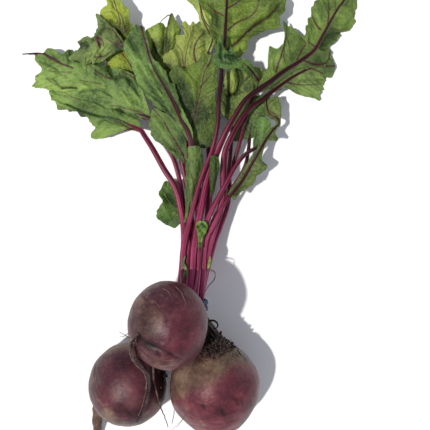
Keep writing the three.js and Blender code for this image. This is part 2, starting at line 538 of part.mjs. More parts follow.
// A margin as a function of the place u along the rib, straight between its points.
function marginFunction(leaf, side, ribCurve) {
  const margin = (side < 0 ? leaf.left : leaf.right).map(vector);
  const ends = [0, 1].map((u) => {
    const aside = ribCurve.getTangent(u).cross(UP).setZ(0).normalize();
    const reach = u === 0 ? BLADE_BASE_HALF_WIDTH : BLADE_TIP_HALF_WIDTH;
    return ribCurve.getPoint(u).addScaledVector(aside, side * reach);
  });
  const points = [ends[0], ...margin, ends[1]];
  const stations = [0, ...marginStations(leaf, margin, ribCurve), 1];
  const at = (u) => {
    let k = 0;
    while (k + 2 < stations.length && stations[k + 1] < u) {
      k += 1;
    }
    const share = (u - stations[k]) / (stations[k + 1] - stations[k]);
    return points[k].clone().lerp(points[k + 1], THREE.MathUtils.clamp(share, 0, 1));
  };
  return { at, stations };
}

// The rows of a blade: one at each point of either margin, and more where those are far apart.
function rowStations(left, right) {
  const sorted = [...left.stations, ...right.stations].sort((a, b) => a - b);
  const rows = [0];
  for (const u of sorted) {
    const last = rows[rows.length - 1];
    if (u - last >= BLADE_MIN_ROW_STEP * 0.7) {
      const extra = Math.ceil((u - last) / BLADE_MAX_ROW_STEP);
      for (let step = 1; step <= extra; step += 1) {
        rows.push(last + ((u - last) * step) / extra);
      }
    }
  }
  rows[rows.length - 1] = 1;
  return rows;
}

// The middle of the blade's thickness at u along the rib and v across, -1 left margin to 1 right.
function bladePoint(leaf, ribCurve, left, right, u, v) {
  const width = right.at(u).sub(left.at(u));
  const normal = width.cross(ribCurve.getTangent(u)).normalize();
  const margin = (v < 0 ? left : right).at(u);
  const reach = Math.abs(v);
  const wave = leaf.ruffle * reach * Math.sin(2 * Math.PI * leaf.waves * u + (v < 0 ? 0 : RIGHT_WAVE_PHASE));
  const clear = (ribRadius(leaf, u) * RIB_ROOM + GAP + BLADE_THICKNESS / 2) * (leaf.ribOnTop ? -1 : 1);
  const point = ribCurve.getPoint(u).lerp(margin, reach);
  point.addScaledVector(normal, clear + wave * Math.sin(Math.PI * u));
  point.z = Math.max(point.z, BLADE_MIN_HEIGHT);
  return point;
}

function bladeGeometry(leaf) {
  const ribCurve = smoothCurve(leaf.rib.map(vector));
  const left = marginFunction(leaf, -1, ribCurve);
  const right = marginFunction(leaf, 1, ribCurve);
  const rows = rowStations(left, right);
  const columns = 2 * BLADE_COLUMNS + 1;
  const grid = rows.map((u) => Array.from({ length: columns }, (_, j) => (
    bladePoint(leaf, ribCurve, left, right, u, j / BLADE_COLUMNS - 1))));
  return sheetGeometry(grid, BLADE_THICKNESS);
}

// A grid of points as a thin closed sheet, split into triangles alike on both faces.
function sheetGeometry(grid, thickness) {
  const [rows, columns] = [grid.length, grid[0].length];
  const inside = (value, count) => THREE.MathUtils.clamp(value, 0, count - 1);
  const at = (i, j) => grid[inside(i, rows)][inside(j, columns)];
  const upper = [];
  const lower = [];
  for (let i = 0; i < rows; i += 1) {
    for (let j = 0; j < columns; j += 1) {
      const along = at(i + 1, j).clone().sub(at(i - 1, j));
      const across = at(i, j + 1).clone().sub(at(i, j - 1));
      const normal = across.cross(along).normalize();
      upper.push(at(i, j).clone().addScaledVector(normal, thickness / 2));
      lower.push(at(i, j).clone().addScaledVector(normal, -thickness / 2));
    }
  }
  const triangles = [];
  const offset = rows * columns;
  for (let i = 0; i + 1 < rows; i += 1) {
    for (let j = 0; j + 1 < columns; j += 1) {
      const [a, b] = [i * columns + j, i * columns + j + 1];
      const [c, d] = [a + columns, b + columns];
      triangles.push([a, b, c], [b, d, c]);
      triangles.push([offset + a, offset + c, offset + b], [offset + b, offset + c, offset + d]);
    }
  }
  const rim = [];
  for (let j = 0; j + 1 < columns; j += 1) {
    rim.push(j);
  }
  for (let i = 0; i + 1 < rows; i += 1) {
    rim.push(i * columns + columns - 1);
  }
  for (let j = columns - 1; j > 0; j -= 1) {
    rim.push((rows - 1) * columns + j);
  }
  for (let i = rows - 1; i > 0; i -= 1) {
    rim.push(i * columns);
  }
  rim.forEach((a, k) => {
    const b = rim[(k + 1) % rim.length];
    triangles.push([a, offset + b, b], [a, offset + a, offset + b]);
  });
  return closedGeometry([...upper, ...lower], triangles);
}

// ---------------------------------------------------------------- assembly

const SKIN = { color: 0x5a2f3a, roughness: 0.6, metalness: 0 };
const STALK = { color: 0x7d2348, roughness: 0.45, metalness: 0 };
const LEAF = { color: 0x5f8a45, roughness: 0.55, metalness: 0 };
const BAND = { color: 0x1f4a66, roughness: 0.5, metalness: 0 };

function part(name, geometry, finish) {
  const mesh = new THREE.Mesh(geometry, new THREE.MeshStandardMaterial(finish));
  mesh.name = name;
  return mesh;
}

const bunch = new THREE.Group();
for (const [name, root] of Object.entries(ROOTS)) {
  bunch.add(part(`beet_${name}`, rootGeometry(root), SKIN));
}
bunch.add(part('tie', tieGeometry(), BAND));
for (const [name, leaf] of Object.entries(LEAVES)) {
  bunch.add(part(`stalk_${name}`, stalkGeometry(leaf), STALK));
  bunch.add(part(`blade_${name}`, bladeGeometry(leaf), LEAF));
}

// The origin is under the middle of the whole bunch, on the surface.
const box = new THREE.Box3().setFromObject(bunch);
const middle = box.getCenter(new THREE.Vector3());
bunch.position.set(-middle.x, -middle.y, -box.min.z);

export default bunch;
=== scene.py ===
"""The dressed bunch of beetroots: fine roots, stalks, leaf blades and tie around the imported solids.

Lengths are millimetres in the bunch's own frame, which place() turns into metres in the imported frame.
"""
import math

import bpy
import numpy as np
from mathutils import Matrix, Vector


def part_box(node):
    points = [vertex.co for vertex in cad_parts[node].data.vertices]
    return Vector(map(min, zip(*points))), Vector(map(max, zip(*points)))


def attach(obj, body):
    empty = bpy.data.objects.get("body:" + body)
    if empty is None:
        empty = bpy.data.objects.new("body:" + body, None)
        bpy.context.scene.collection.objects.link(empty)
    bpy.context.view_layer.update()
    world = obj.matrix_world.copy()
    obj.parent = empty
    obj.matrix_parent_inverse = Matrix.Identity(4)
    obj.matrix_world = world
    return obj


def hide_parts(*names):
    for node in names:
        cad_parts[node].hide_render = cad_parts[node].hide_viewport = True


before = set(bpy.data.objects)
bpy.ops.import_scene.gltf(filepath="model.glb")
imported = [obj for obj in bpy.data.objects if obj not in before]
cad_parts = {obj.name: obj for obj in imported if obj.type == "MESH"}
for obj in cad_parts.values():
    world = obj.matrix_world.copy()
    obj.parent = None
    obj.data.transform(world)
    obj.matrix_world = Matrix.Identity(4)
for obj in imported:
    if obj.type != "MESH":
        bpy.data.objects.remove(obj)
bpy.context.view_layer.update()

# ---- shapes, as in the solids

GAP = 0.6
CROWN_GAP = 1.9
BLADE_THICKNESS = 0.8
BLADE_BASE_HALF_WIDTH = 1.6
BLADE_TIP_HALF_WIDTH = 0.9
RIB_ROOM = 1.1
RIGHT_WAVE_PHASE = 2
VEIN_ANGLE = 60
BLADE_MIN_ROW_STEP = 0.03
STALK_TIP_RADIUS = 0.5
TIED_RADIUS = 1.95
SWELL_LENGTH = 35
NECK_ANGLE = 0.86 * math.pi

TIE = dict(centre=(-18.8, -68.3, 33), width=9, columnStep=4.3, rowStep=4.5, halfWidth=11.6,
           halfHeight=12.8, squareness=2.7)

# Lines in the tables are texts of points, "x,y,z x,y,z". Drawn marks are rows parted by semicolons:
# an amount, a reach in millimetres, and the "x,y" of a spot or of a line on the picture plane, in
# steps of DRAWING_STEP millimetres right of and above its middle.
DRAWING_STEP = 0.8

# A root: its centre and radius, stretched by "widen", the way to its crown, its tail, and its marks.
# The amounts of "scars" are depths, and those of "cork", "pale", "red" and the dark marks add that colour.
# A few pale spots are painted highlights. The dark marks are dirt and painted shadow, such as the tail's
# shadow across the top root and shade on the left root's side towards its crown.
ROOTS = dict(
    top=dict(
        centre=(-32.6, -76.8, 78), radius=27.6, widen=(1, 1.12, 0.98), seated=False,
        crownAlong=(0.45, -0.21, -0.87), crownReach=29, crownRadius=8.5, tailStretch=1, taper=1,
        tailRadii=(7, 4.2, 2.8, 2.3, 2, 1.8, 1.6, 1.4, 1.1, 0.6), redness=0.35, tailSlim=0.8,
        tailCork=0.35, tailSoil=0.5,
        tail="""-44,-80,86 -52,-83.5,92 -56,-88,91 -55,-96,87 -50,-106,78 -47,-115,69 -48,-127,59
        -50.5,-138,57 -54,-146,53.5 -57,-152,50""",
        scars="""-0.6 0.6 -72,-81 -64,-87 -56,-92; 0.5 1 -74,-83 -66,-89 -58,-94; -0.4 0.5 -60,-79
        -55,-80 -50,-83; -0.4 0.5 -46,-67 -40,-72 -36,-78; -0.5 0.5 -78,-139 -68,-146 -55,-151 -40,-152;
        -0.5 0.5 -75,-134 -65,-142 -53,-146 -37,-146; 0.5 0.5 -65,-145 -57,-149 -47,-149; -0.9 2.4
        -76,-122 -68,-129 -55,-135 -45,-139 -35,-144; -0.7 1.2 -58,-138 -55,-141""",
        cork="""0.5 5 -76,-85; 0.5 4 -84,-98; 0.4 4 -84,-111; 0.45 5 -68,-75; 0.35 5 -57,-69; 0.4 5
        -63,-147; 0.45 6 -53,-148; 0.4 5 -42,-148; 0.35 4 -71,-139; 0.3 5 -33,-147; 0.35 1.6 -63,-87""",
        # The first pale spot is a painted highlight.
        pale="0.4 4 -57,-114; 0.35 1.2 -63,-87; 0.3 1 -53,-81; 0.15 6 -65,-137",
        red="0.3 12 -33,-105; -0.55 13 -50,-92; 0.4 10 -39,-130; -0.4 14 -73,-90; -0.3 10 -65,-120",
        # Most of these dark lines, from the tail's foot to the right, are the tail's painted shadow across
        # the root.
        darkening="""0.7 3 -76,-122 -70,-127 -63,-132; 0.6 2 -68,-129 -55,-135 -45,-139; 0.35 1.6 -45,-139
        -35,-144 -27,-146; 0.7 1.2 -58,-139 -55,-141; 0.45 2.4 -77,-119 -78,-127 -75,-137; 0.35 1.2
        -82,-93 -79,-107; 0.3 1.2 -72,-118 -76,-113"""),
    left=dict(
        centre=(-66, -128.5, 29.2), radius=29.6, widen=(1, 1.08, 1), seated=True,
        crownAlong=(0.75, 0.64, 0.15), crownReach=30, crownRadius=9.5, tailStretch=1, taper=1,
        tailRadii=(9, 4.5, 2.8, 2.3, 1.7, 0.8), redness=0.15, tailSlim=1.35, tailCork=0.9, tailSoil=0.2,
        tail="-80,-141,22 -88,-149,17 -92,-159,12 -93.5,-170,7 -92,-181,4 -89,-189,2.3",
        scars="""-0.25 0.7 -120,-155 -115,-175 -105,-190; -0.5 0.9 -95,-190 -88,-195 -83,-200; -0.4 0.6
        -111,-137 -103,-132 -93,-130; -0.3 0.5 -119,-147 -121,-163 -117,-179""",
        cork="""0.65 5 -107,-134; 0.8 5 -96,-129; 0.75 5 -85,-127; 0.5 6 -118,-147; 0.5 6 -123,-165; 0.4
        5 -120,-182; 0.75 6 -110,-199; 0.8 5 -103,-206; 0.8 5 -92,-210; 0.8 5 -79,-211; 0.6 5 -67,-204;
        0.3 5 -58,-191""",
        # The first pale spot is a painted highlight.
        pale="0.35 5 -99,-180; 0.3 6 -120,-165; 0.2 7 -83,-187; 0.1 8 -87,-169",
        red="0.45 10 -85,-177; 0.3 8 -103,-183; -0.3 10 -117,-157; -0.3 8 -99,-137",
        # The first dark line is painted shade on the side towards the crown, and the fourth is the painted
        # shadow of the top root's tail.
        darkening="""0.8 4 -54,-153 -52,-169 -54,-186; 0.35 3 -64,-157 -64,-169 -62,-179; 0.5 3 -93,-193
        -85,-199 -79,-197; 0.45 1.8 -65,-165 -68,-181 -74,-197 -77,-205; 0.35 4 -77,-131 -73,-141
        -69,-151; 0.3 2 -105,-193 -95,-199"""),
    right=dict(
        centre=(-0.5, -129, 33.7), radius=34.2, widen=(1, 1, 1), seated=True,
        crownAlong=(-0.08, 0.95, 0.22), crownReach=37, crownRadius=10.5, tailStretch=1.2, taper=1.45,
        tailRadii=(9, 5.6, 3.6, 2.5, 1.7, 0.8), redness=0.7, tailSlim=1, tailCork=1, tailSoil=0.5,
        tail="2.5,-158,27 4,-169,21 5,-177,13 7,-184,7.5 11,-190,4.2 18,-195,2.4",
        scars="""-0.2 0.7 -23,-199 -7,-207 7,-209 25,-202; -0.2 0.6 -25,-189 -11,-198 5,-201 23,-193;
        -0.25 0.8 -19,-185 -9,-188 1,-183; -0.4 0.7 -37,-147 -30,-155 -20,-157; -0.4 0.6 -18,-140
        -10,-147 -3,-155; 0.25 0.6 -18,-189 -8,-181 10,-173; 0.25 0.6 -15,-179 -3,-171 9,-161""",
        cork="""0.8 8 -35,-155; 0.8 9 -18,-151; 0.8 9 -1,-145; 0.8 8 13,-140; 0.85 7 23,-135; 0.8 6
        30,-139; 0.6 5 35,-147; 0.8 7 -41,-169; 0.75 7 -29,-169; 0.65 7 -17,-165; 0.7 7 -4,-162; 0.65 6
        7,-155; 0.45 5 19,-146; 0.65 5 -43,-181; 0.5 5 -32,-178; 0.25 5 -17,-174; 0.35 5 47,-185; 0.35 5
        35,-205; 0.35 5 -32,-197; 0.3 5 -15,-209""",
        pale="0.2 6 -3,-165; 0.2 6 -15,-163; 0.2 5 -30,-161; 0.15 5 25,-157",
        red="-0.25 8 27,-165; 0.2 10 -10,-190",
        darkening="""0.8 1.5 -13,-189 -11,-193; 0.75 1.8 6,-196 9,-200; 0.6 1.4 21,-184 23,-189; 0.6 1.2
        27,-186 28,-191; 0.85 1.4 29,-141 32,-145; 0.55 1.3 36,-188 37,-195; 0.55 2 28,-209 33,-205; 0.4
        1 17,-181 19,-185; 0.35 1 -3,-191 1,-195; 1 4 -10,-129 -1,-131 8,-128; 0.7 3 -15,-135 -7,-137
        3,-136; 0.9 3 -11,-120 0,-122 10,-122; 0.4 3 12,-130 22,-132; 0.45 1.6 -19,-139 -15,-147"""),
)

# A leaf: the root it grows from, its place in the crown ("slot") and in the tie, its stalk, the rib and
# margins of its blade, and its look. "ribShown" pairs places along the rib with how far it stands out
# there. The amounts of "veins" are strengths, of "folds" heights, and of "patches" lightness. A fold is
# painted darker where it sinks and lighter where it rises, and some folds and patches are painted shade and
# light: shadows under leaf edges, dark gaps, and light inside cast shadows.
LEAVES = dict(
    low_left=dict(
        root="left", slot=(-3, 4.5), tie=(-2, 1), radii=(2.3, 1.9), ruffle=1.2, waves=3, green="#5b7238",
        ribShown=((0, 0.1, 0.2), (1, 0.6, 0)), slim=1, ragged=1.2, neck=0.3,
        stalk="-23.5,-19,33 -25,-1,29 -30.5,21,28 -39,35,27 -48,51,25 -55,62,22",
        rib="-57,65,21 -73,73,14 -91,80,9 -107,88,7 -120,92,5 -130,92,4",
        left="""-64,65,17 -78,63,11 -92,59,7 -96.5,60.5,5 -97,65,4 -94.5,68,4 -101,76,3 -110,80,1
        -116,83,1 -125,85,1.5 -127.5,91,2""",
        right="-58,72,17 -75,82,10 -91,89,7 -107,96,5 -120,101,4 -131,100,4",
        veins="""1 1 -72,86 -84,86 -95,82 -107,78; 0.7 0.6 -81,86 -88,88 -96,93 -105,95; 0.5 0.5 -129,98
        -139,103 -149,106 -159,110""",
        folds="""-2.4 1.4 -87,91 -103,97 -117,99 -131,103 -149,111; 1.2 3 -91,87 -107,85 -115,84; -1.6 1
        -117,91 -111,95 -101,91; -1.4 1 -163,119 -155,113 -145,109; 1.4 1.6 -165,123 -155,118 -143,113""",
        patches="""0.8 18 -107,89; 0.5 12 -117,81; -0.6 9 -103,97; -0.5 12 -125,103; 1.3 7 -161,118; 1 7
        -149,111; -0.6 5 -135,102"""),
    far_left=dict(
        root="left", slot=(-3, 0), tie=(-2, 0), radii=(2.1, 1.7), ruffle=1, waves=4, green="#688040",
        ribShown=((0, 0.06, 0.12, 0.66, 0.76, 0.9, 1), (1, 0.6, 0, 0, 0.6, 0.9, 1.1)), ragged=1.5,
        bareTip=(0.86, 0.92),
        stalk="-23.5,-19,26.5 -24,0,23 -26,19,21 -30,37,20 -36,52,19 -43,63,19 -48,72,19",
        rib="-50,75,19 -66,81,18 -86,93,15 -101,106,13 -112,115,12 -123,121,11 -136,127,10 -152,127,8",
        left="""-60,75,17 -76,80,14 -97,87,12 -114,94,11 -130,100,10 -140,100.5,9 -141.5,109,8
        -136.5,112,8 -139.5,121,8 -146,124,8""",
        right="""-51,84,20 -57,98.5,19 -64.5,109.5,17 -76,114.5,15 -92,119,12 -105,122,10 -113,128,9
        -120,126,10 -126,129.5,9 -132,130.5,9 -136,127,10""",
        veins="""1 1.1 -193,161 -181,161 -173,162 -165,157 -155,152 -142,147; 0.8 0.6 -104,136 -112,140
        -120,145 -127,152; 0.7 0.55 -114,131 -125,133 -135,135; 0.6 0.6 -143,143 -153,143 -165,144; 0.6
        0.7 -142,127 -150,127 -160,131 -169,137; 0.7 0.7 -135,115 -143,118 -151,123; 0.7 0.7 -64,97
        -75,103 -87,106 -97,109 -107,109; 1 1.3 -64,93 -68,95 -73,97; 0.4 0.4 -83,119 -93,124 -103,129;
        0.8 0.7 -77,132 -82,138 -88,141 -96,142""",
        # Three of these folds are painted shadow: the line under dark_left's edge, the dark hole beside it,
        # and the line under pale_left's curled edge.
        folds="""-3.4 1.5 -109,103 -103,104 -96,105 -89,100 -79,96 -73,94; -2.8 1.4 -99,101 -93,97
        -83,94; -3 1 -153,127 -146,128 -138,127; -2.4 1.3 -139,155 -127,153 -116,151 -109,152; -3.4 1.8
        -108,153 -106,146 -103,138; -2 1.3 -100,137 -94,139 -89,138 -85,133; -1.6 1.2 -85,135 -81,128
        -76,119; -1.6 1 -168,137 -161,135 -155,129; -1.5 1.2 -135,123 -123,125 -111,123 -103,118; 1.6 2
        -133,127 -121,129 -109,127; -1.2 1 -131,115 -117,111 -107,105; 1.4 1.8 -97,131 -91,119 -81,105;
        -1.4 1.2 -175,153 -165,149 -157,145; 1.2 1.6 -173,145 -161,141 -149,137; -1 1 -163,159 -159,157
        -155,153; -1.3 1.6 -145,166 -145,158 -147,149; 1.2 3 -137,146 -120,147 -111,143; -0.9 2.5
        -135,119 -120,115 -105,112; 0.8 3 -167,123 -153,120 -139,111; -0.8 2 -101,139 -97,131 -87,119
        -75,109; 0.8 2.5 -93,139 -85,127 -73,111; -1.2 1.5 -87,137 -85,131 -79,123""",
        patches="""0.3 14 -130,125; 0.7 8 -173,133; 1.1 8 -161,121; 0.7 6 -149,123; -0.7 9 -117,143;
        -0.5 7 -107,145; 0.4 10 -155,140; -0.4 10 -120,117; 0.2 12 -90,115; -0.5 6 -93,136; -0.5 6
        -83,131; -0.4 8 -145,157; -0.9 5 -95,102; -0.9 5 -82,96"""),
    dark_left=dict(
        root="left", slot=(3, 0), tie=(-1, -1), radii=(2, 1.4), ruffle=1, waves=3, green="#63743e",
        ribShown=((0, 1), (0, 0)), ragged=1.4,
        stalk="-18,-20,15 -19,0,14 -23,27,15 -29,55,16 -40,80,17 -52,101,17 -65,122,17",
        rib="-69,129,18 -78,133,19 -86,135,19 -95,131,18 -105,126,16 -114,122,14",
        left="-74,128,17 -83,123,16 -90,119,15 -101,118,14 -109,121,13",
        right="""-71,136,20 -78,145,21 -85,151,21 -91,154,19 -90,145,19 -95,138,18 -101,139,17
        -106,135,16 -105,131,15""",
        veins="""0.9 0.7 -90,168 -98,170 -103,173 -109,177; 0.9 0.7 -93,172 -97,178 -103,185 -113,187; 1
        1.6 -118,177 -114,176; 1 1.4 -117,174 -116,170 -115,167; 0.8 0.6 -114,176 -112,173 -111,169; 0.8
        0.7 -120,158 -114,158 -108,160 -104,164; 0.5 0.5 -105,193 -102,185""",
        folds="""-2 2 -135,169 -130,171 -127,169 -129,166; -1.5 2 -115,173 -116,163 -114,159; 1.2 3
        -140,163 -127,161 -111,167; -1.2 2 -111,189 -117,179 -123,173; 1.2 2.5 -97,185 -93,175""",
        patches="""-0.7 7 -130,169; 0.7 8 -111,165; 0.5 8 -123,159; 0.5 6 -131,176; -0.5 8 -97,175; -0.4
        8 -109,191; 0.4 6 -111,173; -1 6 -97,165"""),
    pale_left=dict(
        root="left", slot=(3, -4.5), tie=(-1, -2), radii=(2, 1.5), ruffle=1, waves=4, green="#707e2c",
        ribShown=((0, 1), (0.3, 0.3)),
        stalk="-17,-20,9 -19,2,8 -23,28,8 -31,55,9 -43,81,9 -57,104,10",
        rib="-62,111,10 -68,120,10 -73,129,11 -74,140,14 -74,152,18 -78,166,20 -83,183,20",
        left="""-72,112,6 -82,112,6 -85,120,7 -88,133,10 -90,145,13 -90,154,16 -86,160,18 -83,163,19
        -86,171,19 -88,178,19""",
        right="-60,120,11 -62,132,13 -66,140,15 -64,148,17 -67,157,19 -73,168,20 -77,177,19",
        veins="""0.8 0.6 -89,183 -91,191 -94,200 -101,207 -103,213; 0.9 0.7 -82,147 -88,155 -95,163; 0.4
        0.4 -111,202 -103,203 -97,197; 0.5 0.4 -106,195 -103,187""",
        folds="""-1.2 2 -103,193 -99,185 -93,179; 1 3 -109,205 -103,199 -95,189; -1 2 -89,197 -87,189
        -89,182; 0.8 3 -100,155 -91,153""",
        patches="0.9 12 -107,205; 0.6 10 -97,151; -0.8 8 -97,183; -0.5 7 -88,189; 0.5 8 -95,207"),
    long=dict(
        root="top", slot=(2.5, -4.5), tie=(-1, 1), radii=(2.2, 1.9), ruffle=1, waves=4, green="#627c3d",
        ribShown=((0, 0.35, 0.6, 1), (1, 0.7, 0.4, 0.3)), channel=0.6, stout=1.5, neck=-0.2,
        bend="-23.7,-81.9,43 -22.7,-77.9,38.6",
        stalk="-19,-19,32.5 -20,-1,31.5 -20,19,31 -19,38,31.5 -18,50,32",
        rib="""-18,54,32 -21,64,32 -26,73,31 -33,88,30 -40,100,29 -46,110,28 -50,120,28 -53,132,27
        -57,145,25""",
        left="""-24,62,31 -34,76,28 -44,82,26 -52,90,25 -59,102,24 -63,110,23 -68,122,23 -70,129,23
        -67,136,24 -64,142,25 -61,146,25""",
        right="""-17,63,31 -21.8,76,30 -26.8,86,29 -30.8,98,28 -36.5,109.5,27 -45,117,27 -49,124,27
        -51,133,27 -54,142,26""",
        veins="""1 1.1 -64,153 -68,167 -72,182 -73,189; 0.5 0.5 -37,93 -44,101 -53,111; 0.3 0.4 -65,140
        -73,149 -81,161""",
        folds="""1.6 2.2 -91,175 -83,161 -73,149 -63,135 -53,119; -1.4 2 -87,179 -78,163 -69,151
        -61,141; -1.2 2 -77,149 -67,133 -55,115 -43,97; 1 2 -78,139 -67,121 -55,109; -1.8 2.2 -61,149
        -52,133 -44,119 -35,103; -1.5 1 -79,131 -69,123 -57,115; -1.5 1 -67,141 -61,131 -53,123; 1.2 1.2
        -91,167 -85,157 -77,145""",
        patches="""-0.6 12 -80,177; 0.6 7 -75,149; -0.5 10 -63,123; -0.5 10 -49,103; -0.6 6 -47,129;
        -0.6 6 -38,111; -0.3 8 -75,187"""),
    small_left=dict(
        root="left", slot=(3, 4.5), tie=(-1, 0), radii=(2, 1.6), ruffle=0.8, waves=2, green="#4f6433",
        ribShown=((0, 0.2, 1), (0.7, 0.35, 0.3)),
        stalk="-18.5,-19,27 -20,-1,26.5 -21,19,26 -21,34,26",
        rib="-22,40,26 -27,50,25 -33,61,24 -39,72,23 -45,79,22 -48,82,22",
        left="-27,42,25 -34,48,24 -42,54,23 -47,61,22 -50,70,21 -49,79,21",
        right="-21,48,26 -22,58,26 -28,68,26 -36,77,25 -44,82,23",
        veins="""0.9 0.65 -31,60 -36,68 -42,78 -48,87 -51,93; 0.7 0.5 -39,63 -45,69 -52,75; 0.4 0.4
        -34,65 -40,73 -43,77""",
        folds="0.9 3 -59,97 -53,85 -43,73; -0.7 2 -47,97 -39,85 -32,73; -0.7 2 -61,89 -53,77 -43,65",
        patches="0.8 12 -57,93; 0.5 8 -45,85; -0.5 6 -33,75; 0.3 6 -47,73"),
    curled=dict(
        root="right", slot=(-4.5, -5.4), tie=(0, -2), radii=(2, 1.4), ruffle=1, waves=3, green="#6c7e36",
        ribShown=((0, 1), (0.2, 0.2)), ragged=0.8,
        stalk="-13,-20,6 -14,2,5 -17,28,5 -21,55,6 -25,83,7 -32,105,8",
        rib="-34,110,8 -37,121,9.5 -39,131,13 -38,142,14.5 -36,151,13.5 -34,158,11",
        left="""-40.5,112,8 -44,118,8.5 -50,124,11 -54,135,16 -55,142,18 -49,145,18.5 -43,148.5,17.5
        -40.5,148,16 -38.6,144.5,15 -37,151,13.5""",
        right="-30,118,8 -28.5,130,10 -27.5,139,11 -29,147,11 -32,154,11",
        veins="0.8 0.6 -64,159 -62,167 -60,173; 0.5 0.5 -51,155 -47,165 -45,177 -45,191",
        folds="""-1.8 2 -49,185 -49,173 -52,161; 1.5 3 -58,183 -55,171 -57,159; -1.6 1.4 -63,175 -60,165
        -55,157; 1.2 2 -43,189 -42,177 -44,167""",
        # The two strong light patches on the left lobe are painted light inside the long leaf's shadow.
        patches="""-0.5 7 -57,163; 1.3 7 -66,180; 0.9 5 -67,169; -0.7 7 -55,171; -0.5 4 -49,195; 0.3 7
        -52,185; -0.6 6 -47,169; 0.3 6 -41,179"""),
    broad=dict(
        root="right", slot=(-4.5, 0), tie=(0, -1), radii=(2, 1.5), ruffle=1, waves=3, green="#707c39",
        ribShown=((0, 0.3, 1), (0.5, 0.3, 0.2)), ragged=1.7,
        stalk="-11,-20,12 -12,2,11 -13,27,11 -15,55,12 -18,78,13 -19,90,14",
        rib="-20,96,14 -23,109,15 -23,120,17 -21,132,19 -19,139,20 -19.3,146.5,20",
        left="""-29,104,13 -36,111,13 -42,120,14 -38,125,15 -33,129,16 -28,137,18 -25,142,19
        -25,148.5,19 -23,150,19.5 -21.3,147,20""",
        right="""-11,104,14 -7,117,16 -5,130,18 -5,141,19 -9,145,19 -11.5,149.5,20 -14.5,146.5,20
        -16.8,149.5,20""",
        veins="""0.8 0.6 -30,143 -32,153 -34,165 -39,171; 1 0.8 -19,153 -21,162 -19,172 -12,181; 0.5 0.4
        -12,181 -9,187; 0.5 0.4 -25,185 -21,177; 0.7 0.7 -44,137 -49,145 -54,154; 0.4 0.35 -32,159
        -39,163 -45,161; 0.4 0.35 -17,174 -23,179 -27,177; 0.4 0.35 -19,165 -12,169 -7,173""",
        folds="""-1.4 1.2 -43,169 -37,161 -34,149; -1.2 1.2 -21,189 -23,175 -25,159; 0.9 3 -35,175
        -28,163 -25,151; -0.8 2 -39,167 -37,155 -32,143; 1 3 -13,187 -15,173 -15,159; -1 2 -47,149
        -43,143""",
        patches="""0.8 10 -29,185; 0.5 10 -39,161; 0.3 8 -27,159; -0.7 8 -9,181; -0.7 7 -48,145; -0.4 6
        -37,145"""),
    centre=dict(
        root="top", slot=(2.5, 0), tie=(0, 1), radii=(2.1, 1.6), ruffle=1, waves=3, green="#526428",
        ribShown=((0, 0.15, 1), (0.6, 0.4, 0.3)),
        bend="-19,-81.9,44 -18.2,-77.9,38.6",
        stalk="-14.5,-40,30 -13,-19,24 -13,2,22 -14,27,22 -16,50,23 -17.5,60,23",
        rib="-18,65,23 -15,81,24 -12,92,24 -10,100,25 -8,109,26 -4,117,27 -2,122,28",
        left="""-22,70,21 -27,80,20 -32,90,20 -35,101,20 -34,110,21 -28,114,21.5 -22,113,22 -15,118,24
        -9,123,26""",
        right="-14,53,21 -5,52,20 1,59,20 2,70,21 1,82,22 1,96,23 2,107,25 2,117,27",
        veins="""0.9 0.6 -15,127 -9,135 -3,141; 0.7 0.5 -17,111 -10,116 -3,121; 0.5 0.5 -19,103 -11,105
        -2,111""",
        folds="""-1.4 3 -35,137 -31,119 -25,103; 1.4 3 -27,141 -21,127 -19,117; -1 2 -7,149 -3,155; 1 3
        -9,115 -3,103""",
        # Some patches are painted light and shade: shade at the stalks' foot, a painted shadow of the long
        # leaf over the left half, and painted light inside the shadow cast near the rib.
        patches="""-1 9 -7,63; -0.6 7 -1,75; -1.2 12 -31,123; -1 10 -27,103; 0.9 8 -21,139; 0.9 7
        -19,125; 0.5 9 -3,149; -0.5 9 -9,101; -0.5 8 -15,91; 0.4 5 -6,87"""),
    tall=dict(
        root="top", slot=(-2.5, -5.7), tie=(-1, 2), radii=(2.2, 2), ruffle=1.2, waves=5, ribOnTop=True,
        veinAngle=85, green="#596c29", ribShown=((0, 1), (0.95, 0.75)), slim=0.75, ragged=1.2, neck=-1.2,
        bend="-25.2,-76.7,43.8",
        stalk="""-24,-30,43 -20.5,-11,40.5 -16,7,38.9 -12.4,21,38.1 -7.5,35,37.4 -2,49,35.8 2,67,34
        3,87,33 5,107,32""",
        rib="5,116,32 7,129,31 8,144,31 9,163,30 9,181,28 8,199,24",
        left="2,124,32 -1,134,33.5 -3,146,34.5 -8,156,34 -12,169,31 -9,184,28 -2,194,26",
        right="""11,121,27 19,121,24 25,127,23 27,135,24 34,140,26 41,142,26 49,144,25 52,151,26
        54,158,26 54,169,25 48,182,24 33,195,23 19,200,23""",
        veins="""1 0.9 11,161 17,168 25,175 32,183 40,190 53,198 62,208; 1 0.7 13,185 23,193 36,199
        43,209 44,219; 1 0.7 13,207 23,213 33,223; 0.9 0.7 8,200 -1,205 -7,211; 0.5 0.4 25,175 35,173;
        0.4 0.4 43,201 55,209 61,215; 0.5 0.4 -2,189 -1,201; 0.9 0.7 13,225 25,235; 0.9 0.7 11,221 1,231""",
        folds="""-1.6 1.8 13,165 21,171 32,182 43,192 57,201 65,212; 1.2 3 17,179 31,189 47,201 57,213;
        1.2 3 21,163 29,169 29,175; 1 3 19,203 31,207 39,215; -1 2 4,189 2,201 -2,211; -0.8 2 15,195
        27,201""",
        # The first patch is painted light inside the twisted leaf's shadow.
        patches="""1.2 8 22,165; 0.6 10 17,193; -0.5 8 47,195; -0.5 9 3,193; 0.4 10 35,209; 0.5 8
        57,193; -0.4 8 65,205; 0.3 8 0,209"""),
    slim_top=dict(
        root="right", slot=(0, 0), tie=(1, -1), radii=(2, 1.3), ruffle=0.8, waves=4, ribOnTop=True,
        green="#81924a", ribShown=((0, 1), (0.45, 0.35)),
